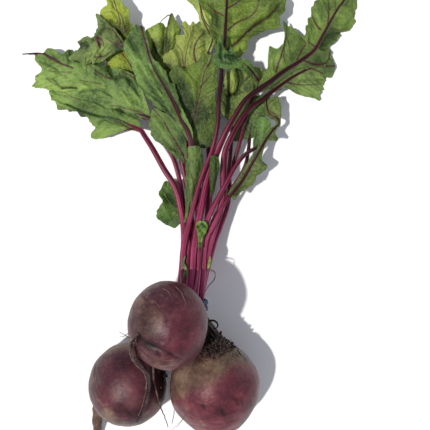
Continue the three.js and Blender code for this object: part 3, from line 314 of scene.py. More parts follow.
        stalk="-7,-19,17 -6,2,16 -5,27,16 -5,54,17 -5,81,18 -6,104,20 -5.5,119,24",
        rib="-5,125,26 -2,133,28 -2,140,28 -7,147,27 -10,155,26 -12,165,25 -15,177,23 -19,188,20",
        left="-8,130,25 -8,138,26 -12,148,25 -14,157,24 -20,165,23 -24,173,22 -24,181,21",
        right="-1,130,28 2,139,29 0,150,28 -3,160,27 -6,172,25 -12,184,22",
        veins="""0.9 0.7 -5,181 -9,189 -13,198 -15,209 -17,219; 0.8 0.7 -3,179 -2,195 -3,211; 0.5 0.4
        -9,171 -12,177""",
        folds="1.2 2 -12,201 -7,189; -1 2 -9,205 -4,191",
        patches="0.8 8 -13,203; 0.5 6 -6,201; -0.5 7 -9,181"),
    twisted=dict(
        root="right", slot=(0, -5.4), tie=(1, -2), radii=(2, 1.3), ruffle=0.6, waves=2, green="#4f6a34",
        ribShown=((0, 0.3, 0.45, 1), (0.8, 0.5, 0, 0)),
        stalk="0,-20,14 3,2,13 9,27,11 15,42,10 19,55,14 23,72,20.5 29,90,21",
        rib="34,102,22 27,111,28 20,115,35 11,114,39 4,116,40 0,121,38",
        left="25,108,26 17,111,34 10,109,38 3,111,39 -2,116,37",
        right="30,112,28 23,118,35 17,117,39 14.5,119,42 10.5,127,43 8,122.5,42.5 4.5,134,43 2.5,125,42",
        veins="1 1.1 44,135 39,141 34,147; 0.5 0.5 -1,159 -9,149 -12,139",
        folds="""1.8 3 0,155 13,151 25,149; -2.2 1.8 6,170 5,161 7,153; -2 1.6 11,159 19,158 27,155; 1.5
        2 13,173 12,163; -2.6 1.6 9,179 10,169 14,163; 1.4 1.2 6,177 7,169; -2 1.3 3,159 9,153 17,151;
        1.4 2 23,155 33,149 41,139; -1.2 2 17,155 25,155""",
        patches="-0.8 5 16,158; -0.5 7 7,153; 0.4 6 25,149; 0.3 5 11,157; 0.8 5 29,157; -0.5 5 35,141"),
    crumpled=dict(
        root="right", slot=(5, -5.4), tie=(2, -1), radii=(2, 1.4), ruffle=1.2, waves=3, green="#6e7e3c",
        ribShown=((0, 0.3, 1), (0.5, 0, 0)), ragged=1.6,
        stalk="-1,-23,22 5,-7,21 10,8,20 11,19,19 11,35,18 12,47,17 13.5,65,14",
        rib="14,71,13 16,84,12 22,96,12 29,106,13 37,114,13",
        left="5,80,12 4.5,92,12 7,104,13 12,113,14 21,114,14 30,116,13",
        right="24,81,10 32,92,10 38,101,10 42,111,12",
        veins="""0.5 0.7 12,120 18,121 23,125; 0.8 1.2 43,135 45,130; 0.6 0.6 31,137 35,143 39,145; 0.6
        0.6 17,133 16,125; 0.6 0.5 39,131 41,123""",
        folds="""-4 2.2 24,145 26,135 23,125; 3 3 18,141 17,129 18,119; -1.8 2 11,123 17,120 25,124; 1.6
        3 33,139 37,127; -1.6 2 47,149 51,137; -1.5 2 11,113 15,107; -2.4 1.5 13,119 20,121 28,123; -2
        1.2 37,147 35,139 29,133; -1.6 1.2 41,129 37,119 31,111""",
        patches="""1 6 17,135; -0.7 5 15,117; -0.9 6 7,125; -0.7 5 21,105; -1.2 5 25,137; -1 4 33,127;
        0.6 4 31,135; -0.7 6 10,115; 0.5 6 43,145; -0.7 6 35,133; -0.5 5 11,105"""),
    big_right=dict(
        root="top", slot=(-2.5, 0), tie=(0, 2), radii=(2.7, 2.3), ruffle=1.2, waves=5, ribOnTop=True,
        green="#5b7033", ribShown=((0, 1), (1, 0.8)), slim=0.84, ragged=1.3, slimFrom=40,
        bend="-19.7,-76.7,44.6",
        stalk="""-17,-40,42.3 -16,-26,41 -13,-8,38 -10,8,35.5 -7,23,34 -2.3,38,33 2.8,50.5,32.5 8,62,33
        14.5,74,33 23,87,33 31,93.5,32""",
        rib="""33,95,32 43,102,31 53,110,28 65,118,24 77,128,19 84,140,15 90,151,12 97,163,9 104,173,7
        110,186,5""",
        left="""36,104,31 41,113,29 42,121,28 43,130,27 49,127,27 54,134,25 54,142,24 54,151,23
        62,143,22 69,140,20 73,147,18 75,157,15 79,164,13 86,173,11 94,181,9 104,188,6""",
        right="""40,95,29 51,103,26 64,113,22 75,115,18 88,118,14 91,126,12 92,134,10 101,143,7
        102,146,6 107,147,5 111,154,3 114,167,1 116,180,1""",
        veins="""1 0.75 61,143 64,153 68,165 72,177; 0.9 0.7 82,155 87,165 91,172 86,177; 0.9 0.75
        101,168 94,173; 0.9 0.65 105,185 100,193 97,200; 0.9 0.65 113,191 114,205 113,219; 0.6 0.55
        121,205 120,215 118,223; 1 0.7 88,155 97,152 105,151 112,153 115,163 116,171; 0.6 0.5 59,145
        59,155; 0.6 0.5 91,151 97,143 105,142; 0.6 0.5 116,187 125,185 133,187; 0.4 0.4 47,145 53,153;
        0.5 0.4 139,197 137,207; 0.8 0.6 127,210 131,217""",
        folds="""-2 2.5 107,168 113,177 121,182 128,183; 1.4 3 107,187 101,201; 1.4 3 123,201 131,193;
        1.2 3 77,165 83,175; -1.2 2 71,173 73,187 70,195; 1.2 3 65,157 57,155; 1 3 105,159 109,153; -1.4
        2 97,151 109,151""",
        patches="""-1.1 6 115,179; -0.5 8 77,159; 0.4 9 99,189; 0.4 9 127,197; 0.5 7 59,153; -0.4 6
        85,169; 0.5 6 73,181; -0.7 6 103,155; 0.3 5 137,189"""),
    low_right=dict(
        root="right", slot=(4.5, 0), tie=(2, 0), radii=(2.7, 1.9), ruffle=1.2, waves=4, ribOnTop=True,
        green="#5c703a", ribShown=((0, 1), (1, 0.7)), slim=0.8, ragged=2.6, slimFrom=40, neck=-0.5,
        stalk="""-7.3,-40,33 -5,-26.5,32 -1,-11.5,31 2.7,0,30.5 5,8,30 6.5,19,29.5 6.5,33,29 7.5,47,28.5
        12,59,28 20,73,27 28,83,26 36,88.5,25""",
        rib="38,90,25 47,97,23 56,104,20 67,111,16 78,116,12 87,117,9 95,118,7",
        left="47,101,22 58,110,18 70,118,13 83,125,9 92,127,7",
        right="""41,90,23 49,96,21 59,98,18 66,94,15 71,94,12 84,92,6 89,94,3 89,100,3 90,106,3 93,110,4
        95,114,5""",
        veins="""1 0.6 71,133 80,131 89,130 103,131; 0.9 0.6 93,148 103,144 109,141; 0.8 0.6 57,126
        67,126 75,126; 0.5 0.5 88,144 91,138; 0.4 0.4 81,139 85,131""",
        folds="""-1 2 85,133 97,135 107,135; 1.2 3 81,125 95,123 107,123; 1.2 3 85,139 97,139 107,137; 1
        2.5 105,149 115,153""",
        patches="0.7 10 91,127; 0.8 8 107,123; 0.3 8 85,137; -0.6 7 111,147; -0.6 6 77,125; 0.3 5 103,139"),
    pointed=dict(
        root="top", slot=(-2.5, 5.2), tie=(1, 2), radii=(2.1, 1.6), ruffle=0.5, waves=1, green="#506b34",
        ribShown=((0, 0.2, 1), (0.5, 0.1, 0)), ragged=0.5,
        bend="-15,-76.7,45.4",
        stalk="""-12.4,-40,40.3 -11.6,-27,39 -9.3,-14,38.8 -5,-2,37.3 3,14,35 9,25,34 15,36,32 23,46,29
        29,50,27""",
        rib="31,51,26 33,57,26 35,65,26 37,75,25",
        left="29,56,25 30,62,25 31,68,25 33,74,24",
        right="35,52,25 39,59,25 43,65,25 42,73,24",
        veins="0.3 0.4 43,69 44,81 45,93",
        folds="-0.8 2 41,69 42,85 43,95; 0.8 2 47,75 48,87 49,97",
        patches="0.6 6 48,91; -0.4 5 43,73"),
    hooked=dict(
        root="right", slot=(4.5, 5.4), tie=(2, 1), radii=(2.1, 1.5), ruffle=0.8, waves=5, veinAngle=80,
        green="#4f5e2f", ribShown=((0, 1), (0.9, 0.8)), ragged=1.3,
        stalk="-8.8,-40,37 -8.3,-28,36.3 -6.3,-17,36.6 -1,-7,37.3 4,3,37 10,12.5,36",
        rib="""11,14,36 20,25,33 27,37,31 34,49,30 40,59,29 44,64.5,28 48.5,69,26 48.8,72.5,25
        41.5,78.5,22 40,84,20 40,90,18""",
        left="""9,15,34 17,27,31 24,39,29 30,48,29 37,59,28 42,65.5,27 46.5,69.5,26 46.5,71.5,25
        40,76.5,22 38.3,84,20""",
        right="""14,11,34 19,16,33 24,19,32 30,24,30 33,30,29 37,33,28 40,37,28 36,43,28 37,50,28
        40,56,28 47,57,27 46,63,27 50,69,26 50.5,73,25 51,79,23 51,85,21 48,91,19""",
        veins="0.9 0.6 64,96 60,101 54,105 52,115; 0.4 0.4 19,21 25,27",
        folds="1.2 2 23,19 33,31 41,43; -1 2 47,55 51,51; 1 2 57,111 61,103",
        patches="0.7 6 58,111; 0.6 6 63,103; 0.3 6 47,49; -0.5 6 23,23; 0.4 5 33,33; 0.3 5 59,79"),
    hidden_right=dict(
        root="right", slot=(0, 5.4), tie=(1, 0), radii=(2, 1.5), ruffle=0.8, waves=2, green="#4d6430",
        ribShown=((0, 0.3, 1), (0.6, 0.2, 0)), ragged=1.8,
        stalk="""-10.8,-48,29.5 -9,-38,27 -5,-19,26 0,-2,25 7,9,24.5 12,19,23.5 19,29,21 24,40,18
        26.5,54,14.5""",
        rib="27,60,14 28,69,14 31,79,14 37,88,14 41,94,13",
        left="15,58,9.5 12,68,9.5 15,80,10.5 25,90,12",
        right="32,62,12 38,69,12 41,80,12 44,89,11",
        veins="0.4 0.5 35,103 43,102 51,103; 0.5 0.5 41,107 47,113",
        folds="1.2 3 31,103 39,111 47,115; -1 2 27,97 33,93",
        patches="0.5 6 37,105; -0.6 6 29,87; 0.5 5 47,111; 0.4 5 26,81"),
    strip=dict(
        root="top", slot=(-7, -3), tie=(-0.5, 2.6), radii=(1, 1), ruffle=0.5, waves=3, tiedRadius=0.9,
        green="#526632", ribShown=((0, 0.1, 1), (0.6, 0.1, 0)), ragged=0.5,
        bend="-20.3,-74.4,46.5",
        stalk="-20.6,-40,44 -20.4,-31,42 -19.6,-20,39.2 -20.8,-14,36.6 -22.3,-9,35.4",
        rib="-22,-6,35.2 -20.5,2,35.2 -18.8,11,35.2 -17,22,35.2 -16,35,35.5 -15,43,36 -14.3,52,36.5",
        left="-22.6,0,35 -22.5,11,34 -22.5,26,33 -22.5,37,33 -20.3,45,34 -20.3,51,35",
        right="-19.5,0,34.2 -16,11,33 -12,22,32 -9,33,31.5 -9.8,43,33 -11.3,51,34",
        veins="1 0.6 -20,13 -21,29 -24,43; 0.9 0.5 -26,3 -25,19 -28,35; 0.7 0.5 -17,31 -15,49",
        folds="0.9 2 -23,65 -23,50 -25,35; -0.7 1.5 -15,55 -17,37 -22,19; -0.8 1.5 -28,53 -27,25 -27,0",
        patches="0.5 8 -23,59; 0.3 6 -25,33; -0.4 5 -14,47; 0.5 5 -28,1"),
    sliver=dict(
        root="top", slot=(2.5, 4.5), tie=(1, 1), radii=(1.3, 0.9), ruffle=0.4, waves=2, tiedRadius=1.4,
        green="#2f440b", ribShown=((0, 0.1, 1), (0.5, 0.1, 0)), ragged=0.4,
        bend="-14.4,-81.7,45 -13.8,-77.9,39.2",
        stalk="-11.5,-28,34.3 -8,-10,33 -4.5,0,32.5 -3.2,9,34",
        rib="-2.6,15,35.5 -1.9,23,36.5 -1,32,37.5 -0.4,39,38 -0.8,45,38",
        left="-3.8,17,36 -4.2,26,36 -4,39,37 -3,44.5,37.5",
        right="-0.8,17,35 1,26,35.5 3.4,37,36 3,42,37",
        veins="0.4 0.4 -1,25 -2,45",
        folds="-1 1.5 0,57 2,43 0,25",
        patches="0.5 5 -1,57; -0.5 5 2,37"),
    bud=dict(
        root="top", slot=(-7, 3), tie=(0.5, 2.6), radii=(0.8, 0.8), ruffle=0.6, waves=2, tiedRadius=0.8,
        green="#506c2b", ribShown=((0, 0.2, 1), (0.6, 0.1, 0)), ragged=1.3,
        bend="-15.9,-74.4,46.5",
        stalk="-13.2,-45,44.6 -11.6,-30,43.7",
        rib="-11.3,-25,43.4 -11,-18,43.4 -10.5,-11,43.2 -10,-4.5,42",
        left="-12.6,-18.5,42 -13.4,-13,42 -14,-8,42 -12.5,-5,42",
        right="-9.4,-18.5,42 -6.7,-13,42 -5.4,-8,42 -7,-5,42",
        veins="0.4 0.5 -15,-25 -13,-15 -15,-9",
        folds="""-2 1.3 -17,-11 -14,-9 -9,-11; 1.8 1.5 -15,-17 -11,-13; -1.6 1.2 -16,-21 -12,-17; 1.4
        1.2 -14,-27 -12,-23""",
        patches="""1.4 2.2 -16,-8; 1.4 2.2 -9,-9; -1.5 1.2 -13,-9; -1.3 1.2 -11,-12; -1.3 1 -17,-12; 1.4
        1.6 -11,-16; -1.6 1.1 -15,-16; 1.3 1.6 -16,-20; -1.4 1 -12,-21; 1.2 1.5 -13,-25; -1.4 1 -15,-28;
        -1.5 1.5 -13,-33"""),
    round_left=dict(
        root="left", slot=(-3, -4.5), tie=(-2, -1), radii=(2, 1.5), ruffle=0.8, waves=2, green="#476129",
        ribShown=((0, 0.2, 1), (0.6, 0.15, 0)), ragged=1.4,
        stalk="-22.5,-23,21.5 -22.5,-10,18.5 -23.5,-2,16.5",
        rib="-24,0,16 -30,5,15 -37,12,14 -43,19,14",
        left="-26,-5,15 -31,-10,14 -35,-9,13 -40,-7,13 -44,2,14 -42,10,15 -44,16,15",
        right="-26,11,14 -28,19,12 -33,25,12 -39,26,13",
        veins="0.4 0.5 -33,-1 -39,7 -45,17; 0.3 0.4 -39,7 -45,3 -51,1",
        folds="""-1.5 2 -47,19 -41,11 -35,7; 1.4 3 -51,19 -51,7 -45,-3; 1.2 2 -39,3 -35,-1; -1 2 -53,27
        -47,21""",
        patches="-0.8 7 -45,17; 0.5 7 -51,7; 0.4 6 -51,29; -0.4 5 -39,-5"),
)

# Thin roots, dry curls and torn bits of leaf, as rows of a radius or half width and then points.
ROOTLETS = """0.9 -45.4,-112,47 -45,-118,48.6 -44.4,-124,49.8 -42.6,-132,48 -41.4,-139,43.5
    -40.5,-147,32 -38.8,-157,19 -37.2,-168,7; 0.2 -22.5,-147.6,51 -25,-154,40 -29,-162,24 -34,-169,10;
    0.45 -56,-82,92 -57.5,-87,95 -56,-91,94; 0.35 -53,-81,94 -53,-86,97 -51,-89,96; 0.25 -57,-84,90
    -61,-82,90 -65,-79.5,90; 0.3 -57,-88,88 -60,-92,87 -60,-96,84; 0.25 -58,-80,84 -63,-84,80
    -66,-85,76; 0.9 -50,-79,96 -54.5,-82,97 -57.5,-87,94 -57.5,-96,88 -53.5,-105,80 -49.5,-112,72.5
    -48.7,-120,66 -50,-129,61.5 -52.5,-138,58.5 -56,-146,54"""
PALE_STRANDS = """0.28 -50.2,-55,87.7 -44.7,-55.7,94.5 -40.2,-57.9,98.6 -36.7,-61.6,101.7; 0.28
    -35.3,-49.8,91.6 -31.7,-51.5,94.2 -29.5,-54.7,97.2 -28.6,-57.8,99.4; 0.28 -26.4,-49.3,89.7
    -22.9,-52.4,92.4 -20.7,-56.3,95.2 -19.2,-60.7,97.6"""
CROWN_CURLS = """1 -5,-93,44 -6,-86,48 -5.1,-78.5,51 -1.5,-77.2,52 0.8,-78.4,52 2,-81.2,52 1.2,-82.8,51
    -1.2,-83.2,50; 1.1 5,-99,40 3,-93,45 0,-87,48 -3,-83,49 -5,-81,48; 0.9 8,-97,38 6,-92,43 3.5,-89,46
    1,-88,48 -1,-90,48; 1 0,-98,44 -1,-92,48 -3,-87,50 -5.5,-85,50; 0.8 11,-99,38 10,-94,41 8,-92,43
    6.5,-93,44"""
LOOSE_HAIRS = """0.5 -6.8,-40.5,38.5 -2.6,-41,40.5 0,-42.5,41.5 0.2,-45,41.8 -1.2,-48.5,41.5
    -4.4,-52.5,40.5 -7.4,-57,39; 0.45 -34.2,156.5,12 -36,156,14 -38.2,154.5,16 -40.2,152.5,17.5
    -41.8,150,18 -42,147.5,17.5"""
LEFT_SCRAP = "1.3 -22,-30,45.6 -23.3,-35.5,46 -21.2,-41.5,46.6 -22.8,-46,46.6 -24.4,-51,46.2"
RIGHT_SCRAP = "1.2 -3.6,-31,36.3 -4.2,-36,36.5 -5.6,-41.5,37.5"

# ---- curves and noise

UP = np.array([0.0, 0.0, 1.0])
SHIFT = np.mean(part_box("tie"), axis=0) - np.array(TIE["centre"]) / 1000


def place(points):
    """Millimetres in the bunch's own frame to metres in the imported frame."""
    return np.asarray(points) / 1000 + SHIFT


def rows(text):
    """Rows parted by semicolons, each as its numbers and then an array of its points."""
    table = []
    for row in text.split(";"):
        words = row.split()
        numbers = [float(word) for word in words if "," not in word]
        table.append((*numbers, np.array([word.split(",") for word in words if "," in word], float)))
    return table


def path(text):
    """The points of a single line."""
    return rows(text)[0][-1]


def unit(vectors):
    return vectors / np.maximum(np.linalg.norm(vectors, axis=-1, keepdims=True), 1e-9)


def blend(a, b, share):
    return a + (b - a) * share


def smoothstep(values, low, high):
    share = np.clip((values - low) / (high - low), 0, 1)
    return share * share * (3 - 2 * share)


def bell(values, width):
    return np.exp(-(values / width) ** 2)


def turns(count):
    """Angles evenly round a circle."""
    return np.linspace(0, 2 * math.pi, count, endpoint=False)


def keep_above(points, height):
    points[..., 2] = np.maximum(points[..., 2], height)


def run_along(points):
    """How far each point is from the first, along the line."""
    return np.concatenate([[0], np.cumsum(np.linalg.norm(np.diff(points, axis=0), axis=1))])


class Curve:
    """A smooth curve through points, each stretch between two of them taking the same share."""

    def __init__(self, points):
        points = np.array(points, float)
        before = 2 * points[:1] - points[1:2]
        after = 2 * points[-1:] - points[-2:-1]
        self.points = np.vstack([before, points, after])
        self.spans = len(points) - 1

    def at(self, shares):
        place_along = np.clip(np.asarray(shares, float), 0, 1) * self.spans
        k = np.minimum(place_along.astype(int), self.spans - 1)
        w = (place_along - k)[..., None]
        a, b, c, d = (self.points[k + i] for i in range(4))
        ab, bc, cd = (np.linalg.norm(q - p, axis=-1, keepdims=True) ** 0.5
                      for p, q in ((a, b), (b, c), (c, d)))
        leave = ((b - a) / ab - (c - a) / (ab + bc) + (c - b) / bc) * bc
        arrive = ((c - b) / bc - (d - b) / (bc + cd) + (d - c) / cd) * bc
        return b + leave * w + (3 * (c - b) - 2 * leave - arrive) * w ** 2 \
            + (2 * (b - c) + leave + arrive) * w ** 3

    def tangent(self, shares):
        shares = np.asarray(shares, float)
        ahead = self.at(np.minimum(shares + 1e-4, 1))
        return unit(ahead - self.at(np.maximum(shares - 1e-4, 0)))


# The numbers that noise() scrambles a cell's place with.
SEED_STEP = 37.7
CELL_FACTORS = (73856093, 19349663, 83492791)
SCRAMBLES = ((13, 1274126177), (15, 668265263))
WHOLE = 0x7FFFFFFF
NOISE_LEVELS = 4096


def noise(points, size, seed):
    """Smooth noise from -1 to 1, with features of the given size."""
    grid = np.asarray(points) / size + seed * SEED_STEP
    cell = np.floor(grid).astype(np.int64)
    share = grid - cell
    share = share * share * (3 - 2 * share)
    total = np.zeros(grid.shape[:-1])
    for corner in np.ndindex(2, 2, 2):
        x, y, z = ((cell[..., i] + corner[i]) * CELL_FACTORS[i] for i in range(3))
        mixed = x ^ y ^ z
        for shift, factor in SCRAMBLES:
            mixed = ((mixed ^ (mixed >> shift)) * factor) & WHOLE
        weight = np.ones(grid.shape[:-1])
        for i in range(3):
            weight = weight * (share[..., i] if corner[i] else 1 - share[..., i])
        total += weight * ((mixed >> 8) % NOISE_LEVELS * 2 / (NOISE_LEVELS - 1) - 1)
    return total


def layers(points, table, seed=0):
    """Noises on top of each other, from rows of (amount, size, seed)."""
    return sum(amount * noise(points, size, seed + own) for amount, size, own in table)


def wander(points, size, seed):
    """A small vector at each point, from noise."""
    return np.column_stack([noise(points, size, seed + i) for i in range(3)])


# ---- the picture plane

CAMERA_HEIGHT = 600
MARK_SAMPLES = 16
MARK_FADE = 0.5


def seen(points):
    """Where a point meets the surface, seen from the camera, which looks down from the middle."""
    return points[..., :2] / (1 - points[..., 2:] / CAMERA_HEIGHT)


def mark(flat, line, half_width, fade=MARK_FADE):
    """How strongly a drawn line, or a spot, touches each point. A line narrows to its end by fade."""
    samples = line * DRAWING_STEP
    if len(line) > 1:
        samples = Curve(samples).at(np.linspace(0, 1, MARK_SAMPLES * len(line)))
    gaps = np.linalg.norm(flat[:, None, :] - samples[None], axis=-1)
    nearest = gaps.argmin(axis=1)
    width = half_width * (1 - fade * nearest / len(samples))
    return bell(gaps[np.arange(len(flat)), nearest], width)


def marks(flat, text, fade=MARK_FADE):
    """All the drawn marks of a table, added up."""
    return sum(amount * mark(flat, line, reach, fade) for amount, reach, line in rows(text))


# ---- meshes

def add_object(name, data):
    added = bpy.data.objects.new(name, data)
    bpy.context.scene.collection.objects.link(added)
    return added


def make_piece(name, points, faces, material, attributes=None, coordinates=None):
    """A smooth mesh piece from millimetre points, riding on the bunch."""
    mesh = bpy.data.meshes.new(name)
    mesh.from_pydata(place(points).tolist(), [], faces)
    mesh.polygons.foreach_set("use_smooth", [True] * len(mesh.polygons))
    for key, values in (attributes or {}).items():
        layer = mesh.attributes.new(key, "FLOAT", "POINT")
        layer.data.foreach_set("value", np.asarray(values, np.float32))
    if coordinates is not None:
        layer = mesh.uv_layers.new(name="UVMap")
        corners = np.empty(len(mesh.loops), np.int64)
        mesh.loops.foreach_get("vertex_index", corners)
        layer.data.foreach_set("uv", coordinates[corners].astype(np.float32).ravel())
    mesh.materials.append(material)
    mesh.validate()
    mesh.update()
    piece = add_object(name, mesh)
    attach(piece, "root")
    return piece


def grid_faces(count, columns, start=0, closed=False, looped=False):
    """Quads over rows of points. Closed joins the last column to the first, looped the last row."""
    faces = []
    for i in range(count if looped else count - 1):
        here, ahead = start + i * columns, start + (i + 1) % count * columns
        for j in range(columns if closed else columns - 1):
            k = (j + 1) % columns
            faces.append((here + j, here + k, ahead + k, ahead + j))
    return faces


def ripples(*table):
    """A tube's section, from rows of (height, ripples round it, twist along it)."""
    return lambda angles, lengths: 1 + sum(height * np.sin(count * angles + twist * lengths)
                                           for height, count, twist in table)


NEARLY_UPRIGHT = 0.2
LEVELLING = 0.5


def tube(points, radii, sides, section=ripples()):
    """Rings of points round a line, with closed ends: points, faces, and (angle, length) pairs."""
    count = len(points)
    tangents = unit(np.gradient(points, axis=0))
    across = np.empty_like(points)
    last = np.cross(tangents[0], UP)
    if np.linalg.norm(last) < NEARLY_UPRIGHT:
        last = np.array([1.0, 0.0, 0.0])
    for i in range(count):
        flat = np.cross(tangents[i], UP)
        steady = last - tangents[i] * np.dot(last, tangents[i])
        level = np.linalg.norm(flat)
        if np.dot(flat, steady) < 0:
            flat = -flat
        last = unit(steady + flat * level * LEVELLING)
        across[i] = last
    upward = np.cross(across, tangents)
    if upward[-1, 2] < 0:
        across, upward = -across, -upward
    angles = turns(sides)
    lengths = run_along(points)
    shape = section(angles[None, :], lengths[:, None])
    rings = points[:, None] + (across[:, None] * np.sin(angles)[None, :, None]
                               + upward[:, None] * np.cos(angles)[None, :, None]) \
        * (radii[:, None] * shape)[..., None]
    vertices = np.vstack([rings.reshape(-1, 3), points[:1], points[-1:]])
    faces = grid_faces(count, sides, closed=True)
    first, last_ring = count * sides, (count - 1) * sides
    for j in range(sides):
        k = (j + 1) % sides
        faces.append((first, k, j))
        faces.append((first + 1, last_ring + j, last_ring + k))
    around = np.tile(angles / (2 * math.pi), count)
    coordinates = np.column_stack([around, np.repeat(lengths, sides)])
    return vertices, faces, np.vstack([coordinates, [[0, 0], [0, lengths[-1]]]])


def join(parts):
    """Several (points, faces, coordinates) as one, each one's faces counted from its own start."""
    faces, start = [], 0
    for points, part_faces, _ in parts:
        faces += [tuple(start + index for index in face) for face in part_faces]
        start += len(points)
    return np.vstack([part[0] for part in parts]), faces, np.vstack([part[2] for part in parts])


# ---- materials

def colour(value):
    """A hex colour or a grey level as linear red, green, blue and alpha."""
    if isinstance(value, tuple):
        return value
    if isinstance(value, float):
        return (value, value, value, 1.0)
    parts = [int(value[i:i + 2], 16) / 255 for i in (1, 3, 5)]
    return tuple(c / 12.92 if c <= 0.04045 else ((c + 0.055) / 1.055) ** 2.4 for c in parts) + (1.0,)


class Material:
    """A node material, built step by step. A socket takes a number, a hex colour or another socket."""

    def __init__(self, name, roughness, specular):
        self.data = bpy.data.materials.new(name)
        self.data.use_nodes = True
        self.tree = self.data.node_tree
        self.shader = self.tree.nodes["Principled BSDF"]
        self.fill(self.shader, {"Roughness": roughness, "Specular IOR Level": specular})
        self.where = self.node("TexCoord").outputs["Object"]

    def fill(self, node, inputs):
        for key, value in inputs.items():
            if isinstance(value, bpy.types.NodeSocket):
                self.tree.links.new(value, node.inputs[key])
            else:
                node.inputs[key].default_value = colour(value) if isinstance(value, str) else value

    def node(self, kind, inputs=None, **settings):
        node = self.tree.nodes.new("ShaderNode" + kind)
        for key, value in settings.items():
            setattr(node, key, value)
        self.fill(node, inputs or {})
        return node

    def attribute(self, name):
        return self.node("Attribute", attribute_name=name).outputs["Fac"]

    def noise(self, vector, scale, detail, roughness=0.55):
        inputs = {"Vector": vector, "Scale": scale, "Detail": detail, "Roughness": roughness}
        return self.node("TexNoise", inputs).outputs["Fac"]

    def streaks(self, stretch, detail, roughness=0.55):
        """Noise drawn out along the surface's own coordinates."""
        vector = self.node("TexCoord").outputs["UV"]
        vector = self.node("Mapping", {"Vector": vector, "Scale": stretch}).outputs["Vector"]
        return self.noise(vector, 1.0, detail, roughness)

    def cells(self, scale):
        inputs = {"Vector": self.where, "Scale": scale}
        return self.node("TexVoronoi", inputs, feature="DISTANCE_TO_EDGE").outputs["Distance"]

    def math(self, operation, *values, clamp=False):
        inputs = dict(enumerate(values))
        return self.node("Math", inputs, operation=operation, use_clamp=clamp).outputs[0]

    def vary(self, value, pattern, amount, lift=None, clamp=False):
        """A value moved by a pattern, evenly up and down unless a lift is given."""
        lift = -amount / 2 if lift is None else lift
        return self.math("ADD", value, self.math("MULTIPLY_ADD", pattern, amount, lift), clamp=clamp)

    def ramp(self, factor, places, values):
        node = self.node("ValToRGB", {"Fac": factor})
        elements = node.color_ramp.elements
        while len(elements) < len(places):
            elements.new(0.5)
        for element, position, value in zip(elements, places, values):
            element.position = position
            element.color = colour(value)
        return node.outputs["Color"]

    def mix(self, factor, a, b):
        return self.node("Mix", {0: factor, 6: a, 7: b}, data_type="RGBA").outputs[2]

    def finish(self, base, height, strength, distance):
        """Sets the base colour and the bump, and gives the material."""
        inputs = {"Height": height, "Strength": strength, "Distance": distance}
        bump = self.node("Bump", inputs).outputs["Normal"]
        self.fill(self.shader, {"Base Color": base, "Normal": bump})
        return self.data


CRIMSON_VEIN = "#451126"
STALK_TONES = ("#26040f", "#6c1835", "#a5466a")
STALK_HIGHLIGHT = "#b07f83"
DULL_SKIN = ("#22121b", "#3c1e29", "#4c2c36")
RED_SKIN = ("#472029", "#6a3039", "#864b4f")
CORK = ("#33271f", "#655142", "#8f7962")
PALE_MARK_AND_HIGHLIGHT = "#8d7068"
FLECK = "#6d5444"
SCAB = "#3d2a22"
SOIL_AND_SHADOW = "#1a110e"
STALK_SOIL = "#1a100b"
SHADE = (0.3, 0.34, 0.38, 1)
SHINE = (1.8, 1.7, 1.65, 1)
THIRDS = (0.2, 0.5, 0.8)


def leaf_material(name, green):
    """One green, darker and lighter by tone and noise, crimson where a vein is drawn. The tone carries the
    painted shade and light of creases, folds and some patches.
    """
    made = Material(f"leaf_{name}", roughness=0.5, specular=0.25)
    grain = made.noise(made.where, scale=480, detail=3)
    net = made.cells(300)
    tone = made.math("MULTIPLY_ADD", made.attribute("tone"), 0.5, 0.47)
    tone = made.vary(tone, made.noise(made.where, scale=70, detail=4), 0.6)
    tone = made.vary(tone, grain, 0.6)
    tone = made.vary(tone, made.math("MULTIPLY", net, 5.0, clamp=True), -0.14, clamp=True)
    middle = colour(green)
    dark, light = (tuple(a * b for a, b in zip(middle, factors)) for factors in (SHADE, SHINE))
    blade = made.ramp(tone, (0.0, 0.5, 1.0), (dark, middle, light))
    vein = made.math("MULTIPLY", made.attribute("vein"), 1.3, clamp=True)
    relief = made.math("ADD", made.math("MULTIPLY", grain, 0.7), made.math("MULTIPLY", net, 1.5))
    return made.finish(made.mix(vein, blade, CRIMSON_VEIN), relief, strength=0.6, distance=0.0011)


def stalk_material():
    """Streaks along the stalk, darker in its channel as painted shade, thin painted highlight lines, and
    dirt near the crown.
    """
    made = Material("stalk_skin", roughness=0.4, specular=0.2)
    streaks = made.streaks((9, 0.012, 1), detail=4, roughness=0.6)
    clouds = made.noise(made.where, scale=30, detail=3)
    fleck = made.streaks((14, 0.25, 1), detail=3)
    amount = made.math("MULTIPLY_ADD", streaks, 1.9, -0.45)
    amount = made.math("MULTIPLY_ADD", made.attribute("tone"), 0.35, amount)
    amount = made.vary(amount, clouds, 0.4)
    amount = made.vary(amount, fleck, 0.24, clamp=True)
    shade = made.ramp(amount, (0.25, 0.5, 0.8), STALK_TONES)
    # Thin painted highlight lines along the stalk.
    highlight_lines = made.ramp(made.streaks((7, 0.005, 1), detail=2), (0.6, 0.66), (0.0, 0.55))
    shade = made.mix(highlight_lines, shade, STALK_HIGHLIGHT)
    darkening = made.attribute("darkening")
    soiled = made.vary(darkening, clouds, 0.8)
    soiled = made.math("MULTIPLY", soiled, made.math("GREATER_THAN", darkening, 0.01), clamp=True)
    relief = made.math("ADD", streaks, made.math("MULTIPLY", fleck, 0.5))
    return made.finish(made.mix(soiled, shade, STALK_SOIL), relief, strength=0.4, distance=0.0005)


